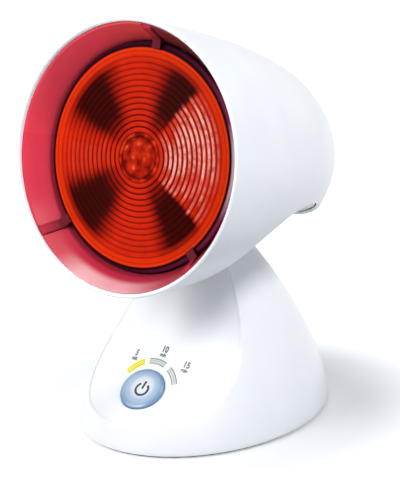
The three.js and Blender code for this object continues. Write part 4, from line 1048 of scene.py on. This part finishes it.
def addPanel():
    inset = panelSizes["border"] + panelSizes["seam"]
    made = combine(bell(inset, standSizes["foot"], standSizes["cavityTop"]), underFace(0), "INTERSECT")
    combine(made, underFace(panelSizes["thickness"]))
    combine(made, panelBlock(panelSizes["upperEnd"]), "INTERSECT")
    reach = 2 * panelSizes["thickness"]
    combine(made, rod(button["radius"] + gap, -reach, reach, panelPlace, button["spokes"]))
    inner, outer = timer["innerRadius"] - timer["windowGap"], timer["outerRadius"] + timer["windowGap"]
    halfSpan = timer["halfSpan"] + timer["windowGap"] / timer["innerRadius"]
    for mark in marks:
        combine(made, arcBar(inner, outer, mark["turn"], halfSpan))
    softenEdges(made, panelSizes["edgeRadius"])
    return finishPiece(made, "stand", "haloPanel", ["control_panel"], smooth=40)


def addTimerLights():
    for mark in marks:
        made = arcBar(timer["innerRadius"], timer["outerRadius"], mark["turn"], timer["halfSpan"])
        combine(made, underFace(0), "INTERSECT")
        combine(made, underFace(panelSizes["thickness"]))
        softenEdges(made, timer["edgeRadius"])
        finishPiece(made, "stand", mark["finish"], [mark["node"]])


addStandShell()
addPanel()
addTimerLights()
print("stand shell, panel and lights")


def onPanel(mesh, shiftX, shiftY):
    # Lays a flat mesh, in mm, on the panel's face
    for point in mesh.vertices:
        x, y = point.co.x * timer["labelWidth"] + shiftX, point.co.y + shiftY
        point.co = (panelPlace @ Vector((x, y, panelRise(x, y) + point.co.z))) * mm


def addLabel(name, words, size, across, along):
    # A printed word, upright on the panel. Its place is from the button's middle.
    curve = bpy.data.curves.new(name, "FONT")
    curve.body = words
    curve.size = size
    curve.extrude = timer["printHeight"]
    curve.offset = timer["labelWeight"] * size / timer["labelSize"]
    curve.align_x = "CENTER"
    curve.align_y = "CENTER"
    text = bpy.data.objects.new(name, curve)
    bpy.context.scene.collection.objects.link(text)
    bpy.context.view_layer.update()
    mesh = bpy.data.meshes.new_from_object(text.evaluated_get(bpy.context.evaluated_depsgraph_get()))
    bpy.data.objects.remove(text)
    onPanel(mesh, across, along)
    made = linkMesh(name, mesh)
    return finishPiece(made, "stand", "printGrey")


for words, (across, along) in timer["labelPlaces"].items():
    addLabel("minutes_" + words, words, timer["labelSize"], across, along)
    addLabel("unit_" + words, "min", timer["unitSize"], across, along - timer["unitBelow"])


def domeHeight(radius):
    # How high the button is at a distance from its middle
    share = min(radius / button["radius"], 1)
    return button["shoulder"] + (button["crown"] - button["shoulder"]) * math.sqrt(1 - share * share)


def addButton():
    # A hollow cap with a domed top, a flange round its foot and a stem in its middle
    radius, wall, skirt = button["radius"], button["wall"], -button["skirt"]
    reaches = [radius * math.sin(fullTurn / 4 * share) for share in shares(button["domeSteps"])]
    foot = skirt - button["flangeThickness"]
    roof = button["shoulder"] - wall
    made = lathe("button_fine", [(reach, domeHeight(reach)) for reach in reaches] + [
        (radius, skirt), (button["flangeRadius"], skirt), (button["flangeRadius"], foot),
        (radius - wall, foot), (radius - wall, roof), (button["stemRadius"], roof),
        (button["stemRadius"], button["stemEnd"]), (0, button["stemEnd"])], panelPlace, button["spokes"])
    finishPiece(made, "button", "blue_button", ["power_button"])


def addPrint(name, lines):
    # A thin ribbon on the button's dome, whose two edges run through the ends of the lines
    high, low = button["printHeight"], -2 * button["printHeight"]
    rings = []
    for ends in lines:
        (leftX, leftY), (rightX, rightY) = [
            (x + button["symbolShift"][0], y + button["symbolShift"][1]) for x, y in ends]
        left, right = domeHeight(math.hypot(leftX, leftY)), domeHeight(math.hypot(rightX, rightY))
        rings.append([(leftX, leftY, left + high), (leftX, leftY, left + low),
                      (rightX, rightY, right + low), (rightX, rightY, right + high)])
    finishPiece(tube(name, rings, panelPlace), "button", "printSlate")


def addSymbol():
    # A broken ring with a bar in its gap
    half, gapAngle = button["symbolStroke"] / 2, button["symbolGap"]
    inner, outer = button["symbolRadius"] - half, button["symbolRadius"] + half
    ring = []
    for share in shares(button["symbolSteps"]):
        angle = fullTurn / 4 + gapAngle + (fullTurn - 2 * gapAngle) * share
        across, along = math.cos(angle), math.sin(angle)
        ring.append(((inner * across, inner * along), (outer * across, outer * along)))
    heights = [button["barFoot"] + button["barLength"] * share for share in shares(button["barSteps"])]
    addPrint("symbol_ring", ring)
    addPrint("symbol_bar", [((-half, height), (half, height)) for height in heights])


addButton()
addSymbol()
print("button and print")


# Shade: a turned shell with a round lip, and an arched opening under it
hood = {
    "length": 162.0,
    "radius": 73.5,
    "lipRadius": 71.4,
    "lipDepth": 2.0,
    "lipSteps": 10,
    "wall": 2.2,
    "archRadius": 68.0,
    "archBehindPivot": 5.8,
    "archBelowPivot": 36.2,
    "archEdge": 0.6,
    "spokes": 192,
    "stepsEach": 7,
    "outline": [  # shares of its length and of its radius
        (0.0123, 1), (0.19, 0.948), (0.38, 0.885), (0.57, 0.793), (0.665, 0.729), (0.76, 0.638),
        (0.852, 0.514), (0.914, 0.4), (0.957, 0.295), (0.985, 0.172), (1, 0),
    ],
}


def hoodLine(length, radius, low):
    # The shade's outline as [radius, along] points, for a length and a radius, from a depth on
    points = [(share * radius, max(along * length, low)) for along, share in hood["outline"]]
    return [(max(p.x, 0), p.y) for p in smoothLine(points, hood["stepsEach"])]


def archPlace():
    # The axis of the round opening under the shade, across it
    down = headSizes["pivotBelowAxis"] + hood["archBelowPivot"]
    along = headSizes["pivotBehindRim"] + hood["archBehindPivot"]
    return headPlace @ framePlace(Vector((0, 1, 0)), Vector((0, 0, 1)), Vector((1, 0, 0)),
                                  Vector((0, down, along)))


def addHeadShell():
    lip, radius = hood["lipRadius"], hood["radius"]
    half, soft = (lip + radius) / 2, (radius - lip) / 2
    angles = [fullTurn / 2 * (1 - share) for share in shares(hood["lipSteps"])]
    roundLip = [(half + soft * math.cos(a), soft * (1 - math.sin(a))) for a in angles]
    outer = roundLip + hoodLine(hood["length"], radius, hood["lipDepth"])
    inner = hoodLine(hood["length"] - hood["wall"], lip, hood["lipDepth"])
    mouth = [(0, -overrun), (lip, -overrun), (lip, 0)]
    hollow = lathe("hollow", mouth + inner[1:], headPlace, hood["spokes"])
    body = lathe("head_fine", [(0, soft)] + outer[1:-1] + [(0, hood["length"])], headPlace, hood["spokes"])
    combine(body, hollow)
    reach = radius + overrun
    combine(body, rod(hood["archRadius"], -reach, reach, archPlace(), hood["spokes"]))
    softenEdges(body, hood["archEdge"], angle=50)
    return finishPiece(body, "shade", "white_plastic", ["head_shell"], smooth=45)


addHeadShell()
print("shade shell")


# Liner in three parts, with a clip between each two
liner = {
    "front": 2.4,
    "back": 19.4,
    "backRadius": 62.4,
    "thickness": 1.2,
    "clipWidth": 5.4,
    "clipGap": 0.3,
    "clipAngles": [-fullTurn / 4, fullTurn / 8, 3 * fullTurn / 8],  # top, lower right, lower left
    "edgeRadius": 0.3,
    "spokes": 96,
}


def linerRadius(along):
    top = hood["lipRadius"] - gap
    return top - (top - liner["backRadius"]) * (along - liner["front"]) / (liner["back"] - liner["front"])


def addLiner():
    front, back, thick = liner["front"], liner["back"], liner["thickness"]
    profile = roundedProfile([(linerRadius(front), front), (linerRadius(back), back),
                              (linerRadius(back) - thick, back), (linerRadius(front) - thick, front)],
                             liner["edgeRadius"], ring=True)
    trim = (liner["clipWidth"] / 2 + liner["clipGap"]) / linerRadius((front + back) / 2)
    clips = liner["clipAngles"]
    ends = clips[1:] + [clips[0] + fullTurn]
    for name, start, end in zip(("liner_right", "liner_lower", "liner_left"), clips, ends):
        made = lathe(name + "_fine", profile, headPlace, liner["spokes"], ring=True,
                     start=start + trim, sweep=end - start - 2 * trim)
        finishPiece(made, "shade", "crimson_liner", [name])
    for name in ("bulb_clip_top", "bulb_clip_right", "bulb_clip_left"):
        refineNode(name, "clipCrimson", liner["edgeRadius"])


addLiner()
print("liner and clips")


# Lens: a disc whose front swells into rings
def ribTree():
    # Geometry nodes that raise rings on a disc: named sizes in mm, the disc's axis is z
    tree = bpy.data.node_groups.new("ringedGlass", "GeometryNodeTree")
    face = tree.interface
    face.new_socket("Geometry", in_out="INPUT", socket_type="NodeSocketGeometry")
    sockets = {}
    for name in ("ribPitch", "ribStart", "ribEnd", "ribDepth", "frontLimit"):
        sockets[name] = face.new_socket(name, in_out="INPUT", socket_type="NodeSocketFloat").identifier
    sockets["finish"] = face.new_socket("finish", in_out="INPUT", socket_type="NodeSocketMaterial").identifier
    face.new_socket("Geometry", in_out="OUTPUT", socket_type="NodeSocketGeometry")
    inputs = addNode(tree, "NodeGroupInput").outputs
    place = addNode(tree, "GeometryNodeInputPosition")
    radius = fromAxis(tree, place)
    outwards = addNode(tree, "Math", "SUBTRACT", [radius, inputs["ribStart"]])
    turns = addNode(tree, "Math", "DIVIDE", [outwards, inputs["ribPitch"]])
    phase = addNode(tree, "Math", "FRACT", [turns])
    angle = addNode(tree, "Math", "MULTIPLY", [phase, math.pi])
    sine = addNode(tree, "Math", "SINE", [angle])
    swell = addNode(tree, "Math", "SQRT", [sine])
    missing = addNode(tree, "Math", "SUBTRACT", [1.0, swell])
    sunk = addNode(tree, "Math", "MULTIPLY", [missing, inputs["ribDepth"]])
    height = addNode(tree, "SeparateXYZ", None, [place]).outputs["Z"]
    for test, first, second in (("GREATER_THAN", radius, inputs["ribStart"]),
                                ("LESS_THAN", radius, inputs["ribEnd"]),
                                ("LESS_THAN", height, inputs["frontLimit"])):
        holds = addNode(tree, "Math", test, [first, second])
        sunk = addNode(tree, "Math", "MULTIPLY", [sunk, holds])
    offset = addNode(tree, "CombineXYZ", None, {"Z": sunk})
    moved = addNode(tree, "GeometryNodeSetPosition", None, {"Geometry": inputs["Geometry"], "Offset": offset})
    real = addNode(tree, "GeometryNodeRealizeInstances", None, {"Geometry": moved})
    painted = addNode(tree, "GeometryNodeSetMaterial", None, {"Geometry": real, "Material": inputs["finish"]})
    addNode(tree, "NodeGroupOutput", None, {"Geometry": painted})
    return tree, sockets


def addLens():
    crown, radius, thick = lens["crown"], lens["radius"], lens["thickness"]
    edge, inner, rise = lens["edge"], radius - thick, lens["edge"] - crown
    frontShares = shares(round(radius / lens["ringStep"]))
    front = [(radius * share, crown + rise * share ** 2) for share in frontShares]
    backShares = reversed(shares(lens["backSteps"]))
    back = [(inner * share, crown + thick + rise * share ** 2) for share in backShares]
    rim = roundedProfile([(radius, edge), (lens["rimRadius"], lens["rimFront"]),
                          (lens["rimRadius"], lens["rimBack"]), (radius, lens["rimBack"]),
                          (inner, edge + thick)], lens["rimRound"])
    # It is made a thousand times too large, as the tree's sizes are plain mm, and set in its place afterwards
    made = lathe("lens_fine", front[:-1] + rim[:-1] + back, Matrix.Scale(1 / mm, 4), lens["spokes"])
    tree, sockets = ribTree()
    ribs = made.modifiers.new("ribs", "NODES")
    ribs.node_group = tree
    for name in ("ribPitch", "ribStart", "ribEnd", "ribDepth"):
        ribs[sockets[name]] = lens[name]
    ribs[sockets["frontLimit"]] = crown + thick / 2
    ribs[sockets["finish"]] = finishes["red_glass"]
    settle(made)
    made.data.transform(Matrix.Scale(mm, 4) @ headPlace)
    finishPiece(made, "shade", "red_glass", ["bulb_lens"], smooth=60)


addLens()
print("lens")


# Feet and base screws: one of each, set on every place the frame gives
underside = {
    "footEdge": 0.5,
    "footSpokes": 48,
    "screwHead": 1.8,
    "screwEdge": 0.7,
    "screwRadius": 1.5,
    "screwSpokes": 32,
    "recessHalf": 1.7,
    "recessWidth": 0.45,
    "recessDepth": 0.9,
}


def copyTree():
    # Geometry nodes that set a piece on each point of a mesh
    tree = bpy.data.node_groups.new("copiesOnPoints", "GeometryNodeTree")
    face = tree.interface
    face.new_socket("Geometry", in_out="INPUT", socket_type="NodeSocketGeometry")
    sockets = {
        "piece": face.new_socket("piece", in_out="INPUT", socket_type="NodeSocketObject").identifier,
        "finish": face.new_socket("finish", in_out="INPUT", socket_type="NodeSocketMaterial").identifier,
    }
    face.new_socket("Geometry", in_out="OUTPUT", socket_type="NodeSocketGeometry")
    inputs = addNode(tree, "NodeGroupInput").outputs
    piece = addNode(tree, "GeometryNodeObjectInfo", None, {"Object": inputs["piece"]})
    placed = addNode(tree, "GeometryNodeInstanceOnPoints", None, {
        "Points": inputs["Geometry"], "Instance": piece.outputs["Geometry"]})
    real = addNode(tree, "GeometryNodeRealizeInstances", None, {"Geometry": placed})
    painted = addNode(tree, "GeometryNodeSetMaterial", None, {"Geometry": real, "Material": inputs["finish"]})
    addNode(tree, "NodeGroupOutput", None, {"Geometry": painted})
    return tree, sockets


copies, copySockets = copyTree()


def copyPiece(name, piece, nodes, finish):
    # Stands a piece, made about the z axis, on the middle of each of the nodes
    middles = []
    for node in nodes:
        low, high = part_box(node)
        middles.append(((low.x + high.x) / 2, (low.y + high.y) / 2, 0))
    mesh = bpy.data.meshes.new(name)
    mesh.from_pydata(middles, [], [])
    made = bpy.data.objects.new(name, mesh)
    bpy.context.scene.collection.objects.link(made)
    repeat = made.modifiers.new("copies", "NODES")
    repeat.node_group = copies
    repeat[copySockets["piece"]] = piece
    repeat[copySockets["finish"]] = finishes[finish]
    settle(made)
    bpy.data.objects.remove(piece)
    finishPiece(made, "stand", finish, nodes)


def nodesNamed(start):
    return sorted(node for node in frame["nodes"] if node.startswith(start))


def addFeet():
    nodes = nodesNamed("rubber_foot_")
    low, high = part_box(nodes[0])
    radius, top = (high.x - low.x) / 2 / mm, high.z / mm
    profile = roundedProfile([(0, 0), (radius, 0), (radius, top), (0, top)], underside["footEdge"])
    copyPiece("rubber_feet", lathe("foot", profile, None, underside["footSpokes"]), nodes, "rubber")


def addBaseScrews():
    nodes = nodesNamed("base_screw_")
    low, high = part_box(nodes[0])
    radius, foot, end = (high.x - low.x) / 2 / mm, low.z / mm, high.z / mm
    shank, step = underside["screwRadius"], foot + underside["screwHead"]
    profile = roundedProfile([(0, foot), (radius, foot), (radius, step)], underside["screwEdge"])
    screw = lathe("screw", profile + [(shank, step), (shank, end), (0, end)], None, underside["screwSpokes"])
    half, wide, roof = underside["recessHalf"], underside["recessWidth"], foot + underside["recessDepth"]
    combine(screw, box((-half, -wide, foot - overrun), (half, wide, roof)))
    combine(screw, box((-wide, -half, foot - overrun), (wide, half, roof)))
    copyPiece("base_screws", screw, nodes, "steel")


addFeet()
addBaseScrews()
print("feet and base screws")


# What is seen only from behind, from below or through the slot: its finish, and its edges' radius in mm
backPieces = {
    "underside_cover": ("white_plastic", 0.3),
    "bulb_reflector": ("mirror_glass", 0.3),
    "heat_shield": ("aluminium", 0.2),
    "lamp_holder": ("porcelain", 0.4),
    "tilt_bracket": ("steel", 0.3),
    "base_plate": ("black_plastic", 0.3),
    "cable_gland": ("black_plastic", 0.3),
    "hinge_bolt": ("steel", 0.25),
    "hinge_nut": ("steel", 0.25),
    "hinge_bush": ("steel", 0.2),
    "friction_washer_right": ("fibre", 0.15),
    "friction_washer_left": ("fibre", 0.15),
}
for node, (finish, radius) in backPieces.items():
    refineNode(node, finish, radius)

# What is hidden keeps the shape that the frame gives it and gets its real finish: steel, where none is listed
innerFinishes = {
    "circuit_board": "board_green",
    "relay": "black_plastic",
    "capacitor": "component_yellow",
    "terminal_block": "porcelain",
    "light_baffle": "black_plastic",
    "switch_body": "black_plastic",
    "switch_plunger": "black_plastic",
    "bulb_cap": "brass",
    "bulb_insulator": "black_glass",
    "bulb_contact": "brass",
    "bulb_stem": "clear_glass",
    "bulb_filament": "tungsten",
    "holder_contact": "brass",
    "lamp_lead": "grey_sleeve",
    "stand_lead": "grey_sleeve",
    "timer_led": "component_yellow",
}
for node, piece in frame["nodes"].items():
    if not piece.hide_render:
        finish = next((innerFinishes[key] for key in innerFinishes if node.startswith(key)), "steel")
        piece.data.materials.clear()
        piece.data.materials.append(finishes[finish])
print("back and inner pieces")


# Light, floor and backdrop, in metres and watts
studio = {
    "worldStrength": 0.22,
    "worldColour": "#d8e8ff",
    "floorColour": "#f0f1f2",
    "floorRoughness": 0.9,
    "floorGlow": 0.36,
    "whiteFrom": 0.08,  # from here outwards the floor turns white
    "whiteTo": 0.165,
    "floorSize": 1.9,
    "lampDistance": 1.7,
    "lamps": {  # strength, size and direction: right, up and towards the camera
        "key": (20.0, 0.45, (0.45, 0.85, 0.3)),
        "left": (9.0, 0.9, (-0.9, 0.4, 0.2)),
        "front": (12.0, 0.7, (-0.7, 0.5, 0.5)),
        "right": (5.0, 0.9, (0.5, 0.3, 0.8)),
        "rear": (4.0, 0.9, (-0.8, 0.5, -0.6)),
    },
}


def addLamp(name, strength, size, towards):
    right, _, back = viewDirections()
    flat = Vector((back.x, back.y, 0)).normalized()
    direction = (towards[0] * right + towards[1] * Vector((0, 0, 1)) + towards[2] * flat).normalized()
    data = bpy.data.lights.new(name, "AREA")
    data.shape = "DISK"
    data.size = size
    data.energy = strength
    lampObject = bpy.data.objects.new(name, data)
    bpy.context.scene.collection.objects.link(lampObject)
    middle = Vector((0, 0, camera["aimHeight"] * mm))
    lampObject.location = middle + direction * studio["lampDistance"]
    lampObject.rotation_euler = direction.to_track_quat("Z", "Y").to_euler()
    return lampObject


def seen(tree):
    # 1 for what the camera sees, straight or through a mirror or glass
    path = addNode(tree, "LightPath").outputs
    mirrored = addNode(tree, "Math", "MAXIMUM", [path["Is Camera Ray"], path["Is Glossy Ray"]])
    return addNode(tree, "Math", "MAXIMUM", [mirrored, path["Is Transmission Ray"]])


def paleSweep():
    # Matt painted board: it shows the object's shadow and turns white farther out
    floor = bpy.data.materials.new("paleSweep")
    floor.use_nodes = True
    tree = floor.node_tree
    shader = tree.nodes["Principled BSDF"]
    shader.inputs["Base Color"].default_value = linear(studio["floorColour"])
    shader.inputs["Roughness"].default_value = studio["floorRoughness"]
    shader.inputs["Specular IOR Level"].default_value = 0.0
    place = addNode(tree, "TexCoord").outputs["Object"]
    away = addNode(tree, "VectorMath", "LENGTH", [place]).outputs["Value"]
    rise = addNode(tree, "MapRange", smoothStep, [
        away, studio["whiteFrom"], studio["whiteTo"], studio["floorGlow"], 1.0])
    strength = addNode(tree, "Math", "MULTIPLY", [seen(tree), rise])
    glow = addNode(tree, "Emission", None, {"Strength": strength})
    both = addNode(tree, "AddShader", None, [shader, glow])
    tree.links.new(liveOutput(both), tree.nodes["Material Output"].inputs["Surface"])
    return floor


def addWorld():
    # A faint sky lights the object, and the camera sees white
    world = bpy.data.worlds.new("studio")
    bpy.context.scene.world = world
    world.use_nodes = True
    tree = world.node_tree
    sky = tree.nodes["Background"]
    sky.inputs["Color"].default_value = linear(studio["worldColour"])
    sky.inputs["Strength"].default_value = studio["worldStrength"]
    shown = addNode(tree, "Background", None, {"Color": "#ffffff", "Strength": 1.0})
    mix = addNode(tree, "MixShader", None, [seen(tree), sky, shown])
    tree.links.new(liveOutput(mix), tree.nodes["World Output"].inputs["Surface"])


def addStudio():
    addWorld()
    half = studio["floorSize"] / 2 / mm
    corners = [(-half, -half, 0), (half, -half, 0), (half, half, 0), (-half, half, 0)]
    plane = makeObject("floor", corners, [(0, 1, 2, 3)])
    plane.data.materials.append(paleSweep())
    lamps = {name: addLamp(name, *settings) for name, settings in studio["lamps"].items()}

    # The key lamp leaves the floor out, as a flag before it would, so that the others' shadow shows there
    flagged = bpy.data.collections.new("flagged")
    flagged.objects.link(plane)
    flagged.collection_objects[0].light_linking.link_state = "EXCLUDE"
    lamps["key"].light_linking.receiver_collection = flagged


addStudio()
bpy.context.scene.view_settings.view_transform = "Standard"
print("studio")
